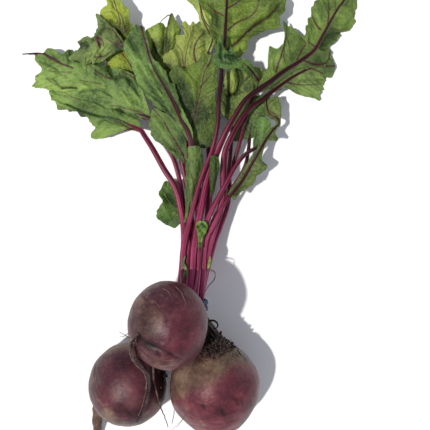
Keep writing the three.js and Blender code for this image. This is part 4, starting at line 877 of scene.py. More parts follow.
def root_material():
    """Crimson skin that turns to brown cork by the attribute 'cork', with pale marks and painted
    highlights, and dirt and painted shadow.
    """
    made = Material("root_skin", roughness=0.37, specular=0.18)
    blotches = made.noise(made.where, scale=60, detail=5, roughness=0.6)
    grain = made.noise(made.where, scale=330, detail=4, roughness=0.65)
    fine = made.noise(made.where, scale=1100, detail=2)
    amount = made.math("MULTIPLY_ADD", blotches, 0.9, 0.05)
    amount = made.vary(amount, grain, 0.5, clamp=True)
    red = made.math("MULTIPLY_ADD", made.attribute("red"), 0.8, 0.1)
    red = made.vary(red, blotches, 0.8, clamp=True)
    dull = made.ramp(amount, THIRDS, DULL_SKIN)
    bright = made.ramp(amount, THIRDS, RED_SKIN)
    cork = made.ramp(amount, THIRDS, CORK)
    edge = made.vary(made.attribute("cork"), blotches, 0.7, -0.5)
    edge = made.vary(edge, grain, 0.8, clamp=True)
    base = made.mix(edge, made.mix(red, dull, bright), cork)
    # Pale scratches, and painted highlights where the skin glints.
    pale = made.math("MULTIPLY", made.attribute("pale"), 0.75, clamp=True)
    base = made.mix(pale, base, PALE_MARK_AND_HIGHLIGHT)
    base = made.mix(made.ramp(fine, (0.56, 0.7), (0.0, 0.3)), base, FLECK)
    scabs = made.ramp(made.noise(made.where, scale=170, detail=3), (0.62, 0.72), (0.0, 0.65))
    base = made.mix(scabs, base, SCAB)
    # Dirt, and painted shadow such as the tail's shadow across the root.
    base = made.mix(made.attribute("darkening"), base, SOIL_AND_SHADOW)
    relief = made.math("ADD", grain, made.math("MULTIPLY", fine, 0.5))
    return made.finish(base, relief, strength=0.4, distance=0.0008)


def plain_material(name, tones, roughness, scale, specular=0.4):
    """Three tones mixed by noise, for small things."""
    made = Material(name, roughness, specular)
    base = made.ramp(made.noise(made.where, scale, 4, 0.6), (0.3, 0.5, 0.7), tones)
    return made.finish(base, made.noise(made.where, scale * 5, 3), strength=0.4, distance=0.0005)


# ---- roots

ROOT_SIDES = 180
ROOT_RINGS = 150
NECK_RINGS = 16
DOME_RINGS = 12
DOME_RISE = 1.5
TAIL_RINGS = 110
TAIL_SIDES = 24
RING_COUNT = 46
RING_HEIGHT = 0.13
RING_SHIFT = ((0.05, 40, 3),)
RING_WAVER = ((1.6, 14, 5),)
RING_GAP_SIZE, RING_GAP_SEED = 10, 9
FAINT_RINGS = 0.25
CLEAR_RINGS = (0.45, 0.95)
CROWN_EDGE = 0.86
RING_CORK, CROWN_CORK, FOOT_CORK = 0.25, 0.8, 0.6
CROWN_DIRT = 0.55
DIRT_PATCHES = ((0.4, 3, 8),)
MARKS_DOWN_TO = -0.2
SEAT_HEIGHT = 0.03
ROOT_LUMPS = ((0.9, 22, 1), (0.35, 9, 2), (0.12, 3.5, 4))
CROWN_LUMPS = ((1.1, 3.2, 11), (0.5, 1.4, 12))
TAIL_WOBBLE_SIZE = 6
# Noises that bend a tail: where each is taken, its seed, and its reach in x, y and z.
TAIL_WOBBLES = ((0, 21, (0.5, 0.5, 0.5)), (50, 22, (0.4, 0.2, 0.3)))
LOOSE_TAIL = (0.1, 0.4)
KNOT_TURN = 1.7
KNOT_HEIGHT = 0.06
FLOOR_ROOM = 0.1
TAIL_SECTION = ripples((0.08, 3, 0.2), (0.06, 7, -0.5), (0.05, 1, 2.6))


def crown_frame(root):
    """Unit directions along the root to its crown, across, and up."""
    along = unit(np.array(root["crownAlong"], float))
    across = unit(np.cross(along, UP))
    return along, across, np.cross(across, along)


def widened(root, points):
    """Points round the root's centre, stretched as the root is."""
    return points * np.array(root["widen"]) + np.array(root["centre"])


def root_profile(root):
    """Rows of (breadth, height) from the tail's foot over the belly and neck to the crown's top."""
    angle = np.linspace(0, NECK_ANGLE, ROOT_RINGS)
    towards_tail = angle < math.pi / 2
    breadth = root["radius"] * np.sin(angle) ** np.where(towards_tail, root["taper"], 1)
    height = -root["radius"] * np.where(towards_tail, root["tailStretch"], 1) * np.cos(angle)
    belly = np.column_stack([breadth, height])
    crown = np.array([[root["crownRadius"], root["crownReach"]]])
    neck = belly[-1:] + (crown - belly[-1:]) * np.linspace(0, 1, NECK_RINGS)[1:, None]
    turn = np.linspace(0, math.pi / 2, DOME_RINGS)[1:, None]
    dome = np.hstack([root["crownRadius"] * np.cos(turn), root["crownReach"] + DOME_RISE * np.sin(turn)])
    return np.vstack([belly, neck, dome])


def tail_tube(root):
    stations = np.linspace(0, 1, TAIL_RINGS)
    points = Curve(path(root["tail"])).at(stations)
    radii = np.interp(stations, np.linspace(0, 1, len(root["tailRadii"])), root["tailRadii"])
    radii = radii * root["tailSlim"]
    wobble = sum(noise(points + offset, TAIL_WOBBLE_SIZE, seed)[:, None] * reach
                 for offset, seed, reach in TAIL_WOBBLES)
    points = points + wobble * smoothstep(stations, *LOOSE_TAIL)[:, None]
    keep_above(points, radii + FLOOR_ROOM)
    knots = np.sin(np.arange(TAIL_RINGS) * KNOT_TURN) * KNOT_HEIGHT + 1
    return tube(points, radii * knots, TAIL_SIDES, TAIL_SECTION)


def root_piece(name, root):
    along, across, up = crown_frame(root)
    profile = root_profile(root)
    ring, side = np.meshgrid(np.arange(len(profile)), turns(ROOT_SIDES), indexing="ij")
    r, h = profile[ring, 0], profile[ring, 1]
    sideways = (r * np.cos(side))[..., None] * across + (r * np.sin(side))[..., None] * up
    points = widened(root, sideways + h[..., None] * along).reshape(-1, 3)
    outward = unit(points - np.array(root["centre"]))
    share = (h / root["radius"]).ravel()
    rings = np.sin((share + layers(points, RING_SHIFT)) * RING_COUNT + layers(points, RING_WAVER))
    rings = rings * (FAINT_RINGS + (1 - FAINT_RINGS) * smoothstep(np.abs(share), *CLEAR_RINGS))
    rings = rings * (0.5 + 0.5 * noise(points, RING_GAP_SIZE, RING_GAP_SEED))
    flat = seen(points)
    top_half = outward[:, 2] > MARKS_DOWN_TO
    scars, cork, pale, red = (marks(flat, root[key]) * top_half for key in ("scars", "cork", "pale", "red"))
    darkening = marks(flat, root["darkening"], 0) * top_half
    crown_at = root["crownReach"] / root["radius"]
    crown = smoothstep(share, crown_at * CROWN_EDGE, crown_at)
    foot = smoothstep(-share, root["tailStretch"] * CROWN_EDGE, root["tailStretch"])
    cork = cork + RING_CORK * np.clip(rings, 0, 1) + crown * CROWN_CORK + foot * FOOT_CORK
    darkening = darkening + crown * (CROWN_DIRT + layers(points, DIRT_PATCHES))
    relief = rings * RING_HEIGHT + layers(points, ROOT_LUMPS) + scars + crown * layers(points, CROWN_LUMPS)
    points = points + outward * relief[:, None]
    if root["seated"]:
        keep_above(points, SEAT_HEIGHT)
    skin_place = np.column_stack([(side / (2 * math.pi)).ravel(), h.ravel()])
    tail = tail_tube(root)
    body = (points, grid_faces(len(profile), ROOT_SIDES, closed=True), skin_place)
    points, faces, coordinates = join([body, tail])

    def with_tail(values, highest, on_tail):
        return np.concatenate([np.clip(values, 0, highest), np.full(len(tail[0]), on_tail)])

    attributes = {
        "cork": with_tail(cork, 2, root["tailCork"]),
        "pale": with_tail(pale, 2, 0),
        "red": with_tail(red + root["redness"], 1, 0),
        "darkening": with_tail(darkening, 1, root["tailSoil"]),
    }
    piece = make_piece(f"root_{name}", points, faces, ROOT_SKIN, attributes, coordinates)
    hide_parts(f"beet_{name}")


# ---- stalks

# STALK_RIDGES are heights, counts round the stalk and shifts. STOUT_FROM, FADE_HEIGHTS and
# SHADOW_EDGE are places up the picture, as the stalk's y. A higher tone is lighter.
STALK_SIDES = 20
STALK_SLIM = 0.86
STALK_RING_STEP = 1.6
STALK_SAMPLES = 1200
STALK_FLOOR = 0.3
STALK_RIDGES = ((0.055, 6, 1), (0.03, 11, 2))
RIDGE_PHASE = 1.3
STALK_CHANNEL = 0.12
CHANNEL_WIDTH = 0.42
CROWN_SOIL = {"top": 12, "left": 14, "right": 40}
SLIM_AFTER_TIE = 30
SLIMMING_LENGTH = 45
STOUT_FROM = (5, 40)
LEAST_RIB = 0.12
FLARE = 0.28
FLARE_LENGTH = 9
NECK_TONE = -0.8
INTO_ROOT = (6.0, 4.0, 2.0)
NECK_START = 0.7
BUNDLE_TONE = 0.5
HEIGHT_FADE = 0.75
FADE_HEIGHTS = (-20, 70)
# Painted shade in the channel on the upper side.
CHANNEL_SHADE = 2.5
# Painted light inside the top root's cast shadow on the bundle, and painted shade just outside it, soften
# that shadow's edge.
SHADOW_EDGE = -41
SHADOW_BLUR = 2
SHADOW_TONE = 0.15
EDGE_REACH = 9
EDGE_BALANCE = 0.35
SOIL_FULL = 0.7


def stalk_way(leaf):
    """The stalk's points from the crown through the tie to the blade, and the crown's direction."""
    root = ROOTS[leaf["root"]]
    along, across, up = crown_frame(root)
    crown_end = widened(root, along * root["crownReach"])
    start = crown_end + along * CROWN_GAP + across * leaf["slot"][0] + up * leaf["slot"][1]
    centre = np.array(TIE["centre"], float)
    at_tie = centre + [leaf["tie"][0] * TIE["columnStep"], 0, leaf["tie"][1] * TIE["rowStep"]]
    half = np.array([0, TIE["width"] / 2, 0])
    bend = path(leaf["bend"]) if "bend" in leaf else np.empty((0, 3))
    return np.vstack([start, bend, at_tie - half, at_tie + half, path(leaf["stalk"])]), along


def rib_radius(leaf, u):
    """The solid rib's radius, for places from 0 to 1 along the blade."""
    return blend(leaf["radii"][1], STALK_TIP_RADIUS, u)


def groove_at(angles):
    """How deep the channel on the upper side is at each angle."""
    return bell(np.minimum(angles, 2 * math.pi - angles), CHANNEL_WIDTH)


def stalk_radii(leaf, y, shares, foot_at):
    """The stalk's thickness: held thin by the tie, slimmer above the bundle, a rib on the blade."""
    tie_end = TIE["centre"][1] + TIE["width"] / 2
    full = blend(*leaf["radii"], smoothstep(shares, foot_at * 0.5, foot_at))
    swelling = smoothstep(y, tie_end, tie_end + SWELL_LENGTH)
    radii = blend(leaf.get("tiedRadius", TIED_RADIUS), full, swelling)
    slim_from = leaf.get("slimFrom", tie_end + SLIM_AFTER_TIE)
    slim = leaf.get("slim", STALK_SLIM)
    radii = blend(radii, radii * slim, smoothstep(y, slim_from, slim_from + SLIMMING_LENGTH))
    stout = leaf.get("stout", 1.0)
    radii = radii * blend(1.0, stout, smoothstep(y, *STOUT_FROM))
    rib_share = np.clip((shares - foot_at) / (1 - foot_at), 0, 1)
    shown = np.interp(rib_share, *leaf["ribShown"])
    ribs = rib_radius(leaf, rib_share) * slim * stout
    return np.where(shares >= foot_at, ribs * np.maximum(shown, LEAST_RIB), radii)


def stalk_tone(leaf, y, shares, foot_at, channel):
    """How dark or light each ring and side is: darker by the blade and further up, lighter over the bundle,
    painted light inside the top root's cast shadow with painted shade just outside its edge, and painted
    shade in the channel.
    """
    tone = leaf.get("neck", NECK_TONE) * smoothstep(shares, foot_at * NECK_START, foot_at)
    tone = tone + BUNDLE_TONE - HEIGHT_FADE * smoothstep(y, *FADE_HEIGHTS)
    shaded = 1 - smoothstep(y, SHADOW_EDGE - SHADOW_BLUR, SHADOW_EDGE + SHADOW_BLUR)
    tone = tone + SHADOW_TONE * shaded + bell(y - SHADOW_EDGE, EDGE_REACH) * (shaded - EDGE_BALANCE)
    return (tone[:, None] - CHANNEL_SHADE * channel * groove_at(turns(STALK_SIDES))).ravel()


def stalk_piece(name, leaf):
    way, crown_along = stalk_way(leaf)
    nodes = np.vstack([way, path(leaf["rib"])])
    curve = Curve(nodes)
    foot_at = len(way) / (len(nodes) - 1)
    dense = np.linspace(0, 1, STALK_SAMPLES)
    lengths = run_along(curve.at(dense))
    shares = np.interp(np.arange(0, lengths[-1], STALK_RING_STEP), lengths, dense)
    shares = np.append(shares, 1.0)
    points = curve.at(shares)
    radii = stalk_radii(leaf, points[:, 1], shares, foot_at)
    travelled = np.interp(shares, dense, lengths)
    radii = radii * (1 + FLARE * np.exp(-travelled / FLARE_LENGTH))

    # A short stretch inside the root.
    into_root = points[:1] - crown_along * np.array(INTO_ROOT)[:, None]
    points = np.vstack([into_root, points])
    radii, shares, travelled = (np.concatenate([[first] * len(INTO_ROOT), values]) for first, values
                                in ((radii[0], radii), (0.0, shares), (0.0, travelled)))

    phase = len(name) * RIDGE_PHASE
    channel = leaf.get("channel", STALK_CHANNEL)

    def section(angles, _):
        ridges = sum(height * np.cos(count * angles + phase * shift)
                     for height, count, shift in STALK_RIDGES)
        return 1 + ridges - channel * groove_at(angles)

    vertices, faces, coordinates = tube(points, radii, STALK_SIDES, section)
    tone = stalk_tone(leaf, points[:, 1], shares, foot_at, channel)
    soiled = CROWN_SOIL[leaf["root"]]
    darkening = np.repeat(1 - smoothstep(travelled, soiled * SOIL_FULL, soiled), STALK_SIDES)
    attributes = {key: np.concatenate([values, values[:1], values[-1:]])
                  for key, values in (("tone", tone), ("darkening", darkening))}
    keep_above(vertices, STALK_FLOOR)
    piece = make_piece(f"petiole_{name}", vertices, faces, STALK_SKIN, attributes, coordinates)
    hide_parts(f"stalk_{name}")


# ---- blades

# Pairs in brackets are where a change starts and where it is complete. Rows of three are noises for
# layers(), and in FRILL_WAVES the heights, lengths and shifts of waves. A higher tone is lighter.
BLADE_STEP = 0.8
BLADE_SAMPLES = 2001
LEAST_COLUMNS = 4
VISUAL_THICKNESS = 0.45
RIB_START = 1.0
LIFT_START = 0.5
RIB_BLEND = 6.0
OVER_RIB = 0.4
UNDER_RIB = 0.25
HALF_SHOWN = 0.5
FULL_WIDTH = (2, 8)
WHOLE_TIP = (1.1, 1.2)
BARE_WIDTH = 0.4
LEAST_VEINS = 3
VEIN_SPACING = 13
WAVER_SIZE, WAVER_AMOUNT = 25, 0.15
QUILTING = 0.8
QUILT_POWER, QUILT_LEVEL = 0.8, 0.6
RIB_SAMPLES = 101
VEIN_BOW = 0.35
PALE_VEIN_TONE, PALE_VEIN_WIDTH = 0.16, 0.12
CREASE_SHADING = 0.4
VEIN_DEPTH = 0.35
FOLD_SHADE = 0.5
FOLD_LIGHT = 0.25
RIM_LIGHT = 0.25
NORMAL_SOFTENING = 6
LOWEST_BLADE = 0.5
TONE_LIMIT = 1.2
SIDE_CREASE_HEIGHT, LONG_CREASE_HEIGHT = 0.55, 0.5
CREASES_PER_VEIN = 4.5
SIDE_CREASE, LONG_CREASE, CREASE_GAP = 12, 13, 3
RIGHT_CREASES = 9.5
FOLD_START = (0.2, 3.0)
RIB_COLOUR_WIDTH = 0.9
LEAST_RIB_COLOUR = 0.5
RIB_COLOUR_FROM = (0.05, 0.4)
RIM_START = 0.94
MARGIN_CURL = (0.55, 1.0)
FRILL_WAVES = ((0.35, 2.3, 1), (0.5, 5.1, 2))
FRILL_POWER = 3
MARGIN_FRILL = ((1.5, 4.2, 1), (0.8, 1.9, 2), (1.8, 9, 9))
MARGIN_LIFT = ((1.5, 9, 2), (0.7, 5, 3))
BLADE_LUMPS = ((1.3, 15, 5), (0.8, 6, 6))
BLADE_MOTTLE = ((0.22, 7, 10), (0.14, 3.5, 11))


def margin_stations(leaf, points, rib_curve):
    """Where on the rib the side vein of each margin point starts, kept in order."""
    slope = 1 / math.tan(math.radians(leaf.get("veinAngle", VEIN_ANGLE)))
    samples = np.linspace(0, 1, RIB_SAMPLES)
    tangents = rib_curve.tangent(samples)
    offsets = points[:, None] - rib_curve.at(samples)
    along = (offsets * tangents).sum(axis=-1)
    aside = np.linalg.norm(offsets - tangents * along[..., None], axis=-1)
    origins = samples[np.abs(along - slope * aside).argmin(axis=1)]
    last, stations = 0, []
    for k in range(len(points)):
        middle = (max(origins[:k + 1]) + min(origins[k:])) / 2
        room = 1 - BLADE_MIN_ROW_STEP * (len(points) - k)
        last = min(max(middle, last + BLADE_MIN_ROW_STEP), room)
        stations.append(last)
    return stations


def margin_curve(leaf, side, rib_curve):
    """The blade's edge on one side, as points for places along the rib."""
    margin = path(leaf["left" if side < 0 else "right"])
    ends = []
    for u, reach in ((0, BLADE_BASE_HALF_WIDTH), (1, BLADE_TIP_HALF_WIDTH)):
        aside = np.cross(rib_curve.tangent(u), UP)
        aside[2] = 0
        ends.append(rib_curve.at(u) + unit(aside) * side * reach)
    stations = [0, *margin_stations(leaf, margin, rib_curve), 1]
    curve = Curve([ends[0], *margin, ends[1]])
    knots = np.linspace(0, 1, len(stations))
    return lambda u: curve.at(np.interp(u, stations, knots))


def soften(values, reach):
    """A running mean along the rows."""
    padded = np.vstack([values[:1]] * reach + [values] + [values[-1:]] * reach)
    return sum(padded[i:i + len(values)] for i in range(2 * reach + 1)) / (2 * reach + 1)


def sheet(points, thickness):
    """A closed sheet round a grid of points: its points and faces."""
    along, across = np.gradient(points, axis=0), np.gradient(points, axis=1)
    facing = unit(np.cross(across, along)) * thickness / 2
    upper, lower = (points + facing).reshape(-1, 3), (points - facing).reshape(-1, 3)
    count, columns = points.shape[:2]
    total = count * columns
    faces = grid_faces(count, columns)
    faces += [tuple(reversed(face)) for face in grid_faces(count, columns, total)]
    rim = [*range(columns - 1), *range(columns - 1, total - 1, columns),
           *range(total - 1, total - columns, -1), *range(total - columns, 0, -columns)]
    faces += [(a, total + a, total + b, b) for a, b in zip(rim, rim[1:] + rim[:1])]
    return np.vstack([upper, lower]), faces


class Blade:
    """A blade as a grid: rows along the rib, columns from the left margin to the right one.

    A row's u runs from 0 to 1 along the rib, and a column's reach from 0 at the rib to 1 at the
    margin. A point's distance is from the rib, and its lift is how far it stands off the flat blade.
    """

    def __init__(self, leaf, seed):
        self.leaf, self.seed = leaf, seed
        rib_curve = Curve(path(leaf["rib"]))
        edges = [margin_curve(leaf, side, rib_curve) for side in (-1, 1)]
        dense = np.linspace(0, 1, BLADE_SAMPLES)
        moves = [np.linalg.norm(np.diff(curve(dense), axis=0), axis=1)
                 for curve in (rib_curve.at, *edges)]
        run = np.concatenate([[0], np.cumsum(np.max(moves, axis=0))])
        stations = np.interp(np.linspace(0, run[-1], int(run[-1] / BLADE_STEP) + 2), run, dense)
        ribs = rib_curve.at(stations)
        margins = [edge(stations) for edge in edges]
        normal = unit(np.cross(margins[1] - margins[0], rib_curve.tangent(stations)))
        widths = [np.linalg.norm(margin - ribs, axis=1) for margin in margins]
        left, right = (max(int(width.max() / BLADE_STEP), LEAST_COLUMNS) for width in widths)
        reaches = np.concatenate([-np.linspace(1, 0, left + 1)[:-1], np.linspace(0, 1, right + 1)])
        self.length = run[-1]
        self.u, self.run = stations[:, None], np.interp(stations, dense, run)[:, None]
        self.ribs, self.normal = ribs[:, None], unit(soften(normal, NORMAL_SOFTENING))[:, None]
        self.on_left, self.reach = (reaches < 0)[None, :], np.abs(reaches)[None, :]
        self.margin = np.where(self.on_left[..., None], margins[0][:, None], margins[1][:, None])
        half = np.where(self.on_left, widths[0][:, None], widths[1][:, None])
        self.distance = self.reach * half
        self.ends = np.sin(math.pi * self.u)
        self.taper = smoothstep(half, *FULL_WIDTH)
        self.window = smoothstep(self.distance, RIB_START, RIB_BLEND) * self.taper
        self.rib_edge = rib_radius(leaf, self.u)
        self.shown = np.interp(self.u, *leaf["ribShown"])
        self.sign = -1 if leaf.get("ribOnTop", False) else 1

    def clear_rib(self):
        """Keeps the blade clear of its rib, and waves it as the solid is waved."""
        leaf, sign = self.leaf, self.sign
        clear = self.rib_edge * RIB_ROOM + GAP + BLADE_THICKNESS / 2
        on_rib = sign * self.rib_edge * self.shown * (OVER_RIB if sign > 0 else UNDER_RIB)
        inner = blend(1.0, on_rib, smoothstep(self.shown, 0, HALF_SHOWN))
        lift = blend(inner, sign * clear, smoothstep(self.distance, LIFT_START, RIB_BLEND))
        phase = np.where(self.on_left, 0, RIGHT_WAVE_PHASE)
        waves = np.sin(2 * math.pi * leaf["waves"] * self.u + phase)
        self.lift = lift + leaf["ruffle"] * self.reach * waves * self.ends

    def fray(self):
        """Makes the margin ragged, and narrows a bare tip."""
        seed, ribs, reach = self.seed, self.ribs, self.reach
        bare = smoothstep(self.u, *self.leaf.get("bareTip", WHOLE_TIP))
        margin = blend(self.margin, ribs + unit(self.margin - ribs) * BARE_WIDTH, bare[..., None])
        frill = sum(height * np.sin(self.run / length + seed * shift)
                    for height, length, shift in FRILL_WAVES)
        frill = (frill + layers(margin, MARGIN_FRILL, seed)) * self.leaf.get("ragged", 1.0)
        outward = unit(margin - ribs) * (frill * reach ** FRILL_POWER * self.taper * self.ends)[..., None]
        self.points = blend(ribs, margin, reach[..., None]) + outward
        curl = smoothstep(reach, *MARGIN_CURL) * self.taper * layers(margin, MARGIN_LIFT, seed)
        self.lift = self.lift + curl * self.ends

    def crease(self, lengthwise, crosswise, seed):
        """Noise in folds across the blade or along it, other ones on its right half."""
        side = np.where(self.on_left, 0, RIGHT_CREASES)
        return noise(np.stack(np.broadcast_arrays(lengthwise, crosswise, side), axis=-1), 1, seed)

    def quilt(self):
        """Swells the blade between its side veins, and creases it finely, painting the creases darker and
        their crests lighter as painted shade and light.
        """
        seed, window = self.seed, self.window
        count = max(self.length / VEIN_SPACING, LEAST_VEINS)
        vein_phase = count * self.u + np.where(self.on_left, 0, 0.5) - self.reach ** 2 * VEIN_BOW
        vein_phase = vein_phase + noise(self.points, WAVER_SIZE, seed + 4) * WAVER_AMOUNT
        ridge = np.abs(np.sin(math.pi * vein_phase))
        lift = self.lift + self.sign * (ridge ** QUILT_POWER - QUILT_LEVEL) * window * QUILTING
        lift = lift + layers(self.points, BLADE_LUMPS, seed) * window
        side = self.crease(vein_phase * CREASES_PER_VEIN, self.distance / SIDE_CREASE, seed + 7)
        long = self.crease(self.run / LONG_CREASE, self.distance / CREASE_GAP, seed + 8)
        crinkle = (side * SIDE_CREASE_HEIGHT + long * LONG_CREASE_HEIGHT) * window
        self.lift = lift + crinkle
        pale = PALE_VEIN_TONE * bell(ridge, PALE_VEIN_WIDTH) * window
        # Painted shade in the crinkles' hollows and painted light on their crests.
        self.tone = pale + CREASE_SHADING * crinkle

    def draw(self):
        """Adds the patches, veins and folds that are drawn on the picture plane. Folds are painted darker
        where they sink and lighter where they rise, and some patches and folds are only painted shade and
        light: shadows under leaf edges, dark gaps, and light inside cast shadows.
        """
        leaf, lift = self.leaf, self.lift
        flat = seen(self.lifted()).reshape(-1, 2)
        tone = (self.tone + layers(self.points, BLADE_MOTTLE, self.seed)).ravel()
        tone = tone + marks(flat, leaf["patches"])
        vein = sunk = np.zeros(len(flat))
        for strength, half_width, line in rows(leaf["veins"]):
            vein = np.maximum(vein, strength * mark(flat, line, half_width))
            sunk = np.maximum(sunk, mark(flat, line, half_width * 2))
        lift = lift - VEIN_DEPTH * sunk.reshape(lift.shape)
        for height, half_width, line in rows(leaf["folds"]):
            touch = height * mark(flat, line, half_width)
            lift = lift + touch.reshape(lift.shape) * smoothstep(self.distance, *FOLD_START)
            # Painted shade in a fold's hollow and painted light on its ridge.
            tone = tone + (FOLD_SHADE if height < 0 else FOLD_LIGHT) * touch
        rib_reach = np.maximum(self.rib_edge * self.shown * RIB_COLOUR_WIDTH, LEAST_RIB_COLOUR)
        on_rib = bell(self.distance, rib_reach) * smoothstep(self.shown, *RIB_COLOUR_FROM)
        rim = smoothstep(self.reach, RIM_START, 1.0) * self.taper * RIM_LIGHT
        self.lift = lift
        self.vein = np.clip(np.maximum(vein, on_rib.ravel()), 0, 1)
        self.tone = np.clip(tone + rim.ravel(), -TONE_LIMIT, TONE_LIMIT)

    def lifted(self):
        return self.points + self.normal * self.lift[..., None]


def blade_piece(name, leaf, seed):
    blade = Blade(leaf, seed)
    blade.clear_rib()
    blade.fray()
    blade.quilt()
    blade.draw()
    points = blade.lifted()
    keep_above(points, LOWEST_BLADE)
    vertices, faces = sheet(points, VISUAL_THICKNESS)
    attributes = {"tone": np.tile(blade.tone, 2), "vein": np.tile(blade.vein, 2)}
    material = leaf_material(name, leaf["green"])
    piece = make_piece(f"leaf_{name}", vertices, faces, material, attributes)
    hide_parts(f"blade_{name}")


# ---- tie

TIE_TURNS = 160
STRAND_STATIONS = 33
STRAND_EDGE, STRAND_RISE, STRAND_POWER = 0.5, 1.5, 0.6
TIE_INSIDE = -0.25
TIE_LIP = 0.1
# The band's edge sways to and fro: shares of SWAY_HEIGHT, counts round the band and shifts.
TIE_SWAY = ((0.5, 2, 0), (0.2, 5, 1))
SWAY_HEIGHT = 0.4


def tie_piece():
    """A closed band whose outside swells like two strands side by side."""
    angles = turns(TIE_TURNS)
    cosine, sine = (np.sign(value) * np.abs(value) ** (2 / TIE["squareness"])
                    for value in (np.cos(angles), np.sin(angles)))
    out = unit(np.column_stack([cosine / TIE["halfWidth"], sine / TIE["halfHeight"]]))
    shares = np.linspace(0, 1, STRAND_STATIONS)
    inside = TIE["width"] / 2 - TIE_LIP
    along = np.append((shares - 0.5) * TIE["width"], [inside, -inside])
    strands = np.abs(np.sin(2 * math.pi * shares)) ** STRAND_POWER
    rise = np.append(STRAND_EDGE + STRAND_RISE * strands, [TIE_INSIDE] * 2)
    sway = sum(amount * np.sin(angles * count + shift) for amount, count, shift in TIE_SWAY) * SWAY_HEIGHT
    points = np.stack([(TIE["halfWidth"] * cosine)[:, None] + rise * out[:, :1], along + sway[:, None],
                       (TIE["halfHeight"] * sine)[:, None] + rise * out[:, 1:]], axis=-1) + TIE["centre"]
    faces = grid_faces(TIE_TURNS, len(along), closed=True, looped=True)
    material = plain_material("band", ("#06192c", "#0c3557", "#1a5680"), 0.55, 240, 0.2)
    piece = make_piece("tie_band", points.reshape(-1, 3), faces, material)
    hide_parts("tie")


# ---- rootlets and scraps

HAIR_SIDES = 8
HAIR_SAMPLES = 14
HAIR_TAPER = 0.75
LEAST_HAIR = 0.08
HAIR_WANDER = 0.35
WANDER_SIZE = 4
CROWN_GROWTH = {"top": 0.7, "left": 0.45, "right": 0.7}
CROWN_KINDS = {
    "stubs": dict(count=90, spread=1.0, length=3.4, radius=1.15, uneven=0.4, sides=9),
    "fibres": dict(count=170, spread=1.5, length=4, radius=0.42, uneven=0, sides=5),
}
GOLDEN_TURN = 2.39996
# How far out the growth stands, how it slopes down from the crown, and how far its ends sway.
INNERMOST, CROWDING = 0.5, 0.8
SHOULDER, SHOULDER_SLOPE, OUTER_SLOPE = 4, 1.5, 0.55
LEAN, LEAN_OUTWARD, LEAN_SWING = 0.1, 2.2, 0.35
SIDE_SWING, LENGTH_SWING = 0.8, 2
MIDDLE_GROWTH = 0.9
TIP_WANDER, TIP_POWER = 2.2, 1.5
CROWN_STATIONS = 9
CROWN_TAPER = 0.5
SCRAP_SAMPLES, SCRAP_SIDES = 40, 14
SCRAP_ENDS, SCRAP_FULLNESS = (0.04, 0.96), 0.6
SCRAP_NOTCHES, NOTCH_DEPTH = 23, 0.25
RIBBON_THICKNESS = 0.22
CRUMPLED = ripples((0.16, 3, 1.3), (0.1, 5, -2.1))


def hair_piece(name, text, material):
    """Thin tapering threads."""
    parts = []
    for radius, line in rows(text):
        stations = np.linspace(0, 1, HAIR_SAMPLES * len(line))
        points = Curve(line).at(stations)
        points = points + wander(points, WANDER_SIZE, 31) * HAIR_WANDER
        parts.append(tube(points, radius * (1 - HAIR_TAPER * stations) + LEAST_HAIR, HAIR_SIDES))
    points, faces, coordinates = join(parts)
    keep_above(points, FLOOR_ROOM)
    make_piece(name, points, faces, material, None, coordinates)


def crown_piece(name, root):
    """Dry stubs of old stalks and loose fibres, which stand round the crown."""
    along, across, up = crown_frame(root)
    radius = root["crownRadius"]
    for (kind, growth), material in zip(CROWN_KINDS.items(), (DARK, BROWN)):
        parts = []
        for k in range(growth["count"]):
            turn = k * GOLDEN_TURN
            share = (k + 0.5) / growth["count"]
            out = radius * (INNERMOST + growth["spread"] * share ** CROWDING)
            past = max(out - radius, 0)
            radial = math.cos(turn) * across + math.sin(turn) * up
            drop = min(past, SHOULDER) * SHOULDER_SLOPE
            level = root["crownReach"] - drop - max(past - SHOULDER, 0) * OUTER_SLOPE
            base = widened(root, radial * out + along * (level - 1))
            lean = LEAN + LEAN_OUTWARD * past / radius + LEAN_SWING * math.sin(k * 1.7)
            sideways = np.cross(along, radial) * SIDE_SWING * math.sin(k * 3.3)
            heading = unit(along * math.cos(lean) + radial * math.sin(lean) + sideways)
            length = growth["length"] + LENGTH_SWING * math.sin(k * 2.9)
            length = length + max(0, MIDDLE_GROWTH * radius - out)
            stations = np.linspace(0, 1, CROWN_STATIONS)
            points = base + heading * (length * CROWN_GROWTH[name] * stations)[:, None]
            bent = wander(points, WANDER_SIZE, k + 41) * (TIP_WANDER * stations ** TIP_POWER)[:, None]
            thickness = growth["radius"] + growth["uneven"] * math.sin(k * 4.1)
            radii = thickness * (1 - CROWN_TAPER * stations)
            parts.append(tube(points + bent, radii, growth["sides"], CRUMPLED))
        points, faces, coordinates = join(parts)
        make_piece(f"crown_{kind}_{name}", points, faces, material, None, coordinates)


def ribbon(angles, _):
    return RIBBON_THICKNESS + (1 - RIBBON_THICKNESS) * np.abs(np.sin(angles))


def scrap_piece(name, text, material):
    """A small torn bit of leaf: a thin ribbon, widest in the middle."""
    half_width, line = rows(text)[0]
    stations = np.linspace(0, 1, SCRAP_SAMPLES)
    bulge = np.sin(math.pi * np.clip(stations, *SCRAP_ENDS)) ** SCRAP_FULLNESS
    radii = half_width * bulge * (1 + NOTCH_DEPTH * np.sin(stations * SCRAP_NOTCHES))
    points, faces, coordinates = tube(Curve(line).at(stations), radii, SCRAP_SIDES, ribbon)
    make_piece(name, points, faces, material, None, coordinates)


# ---- the scene

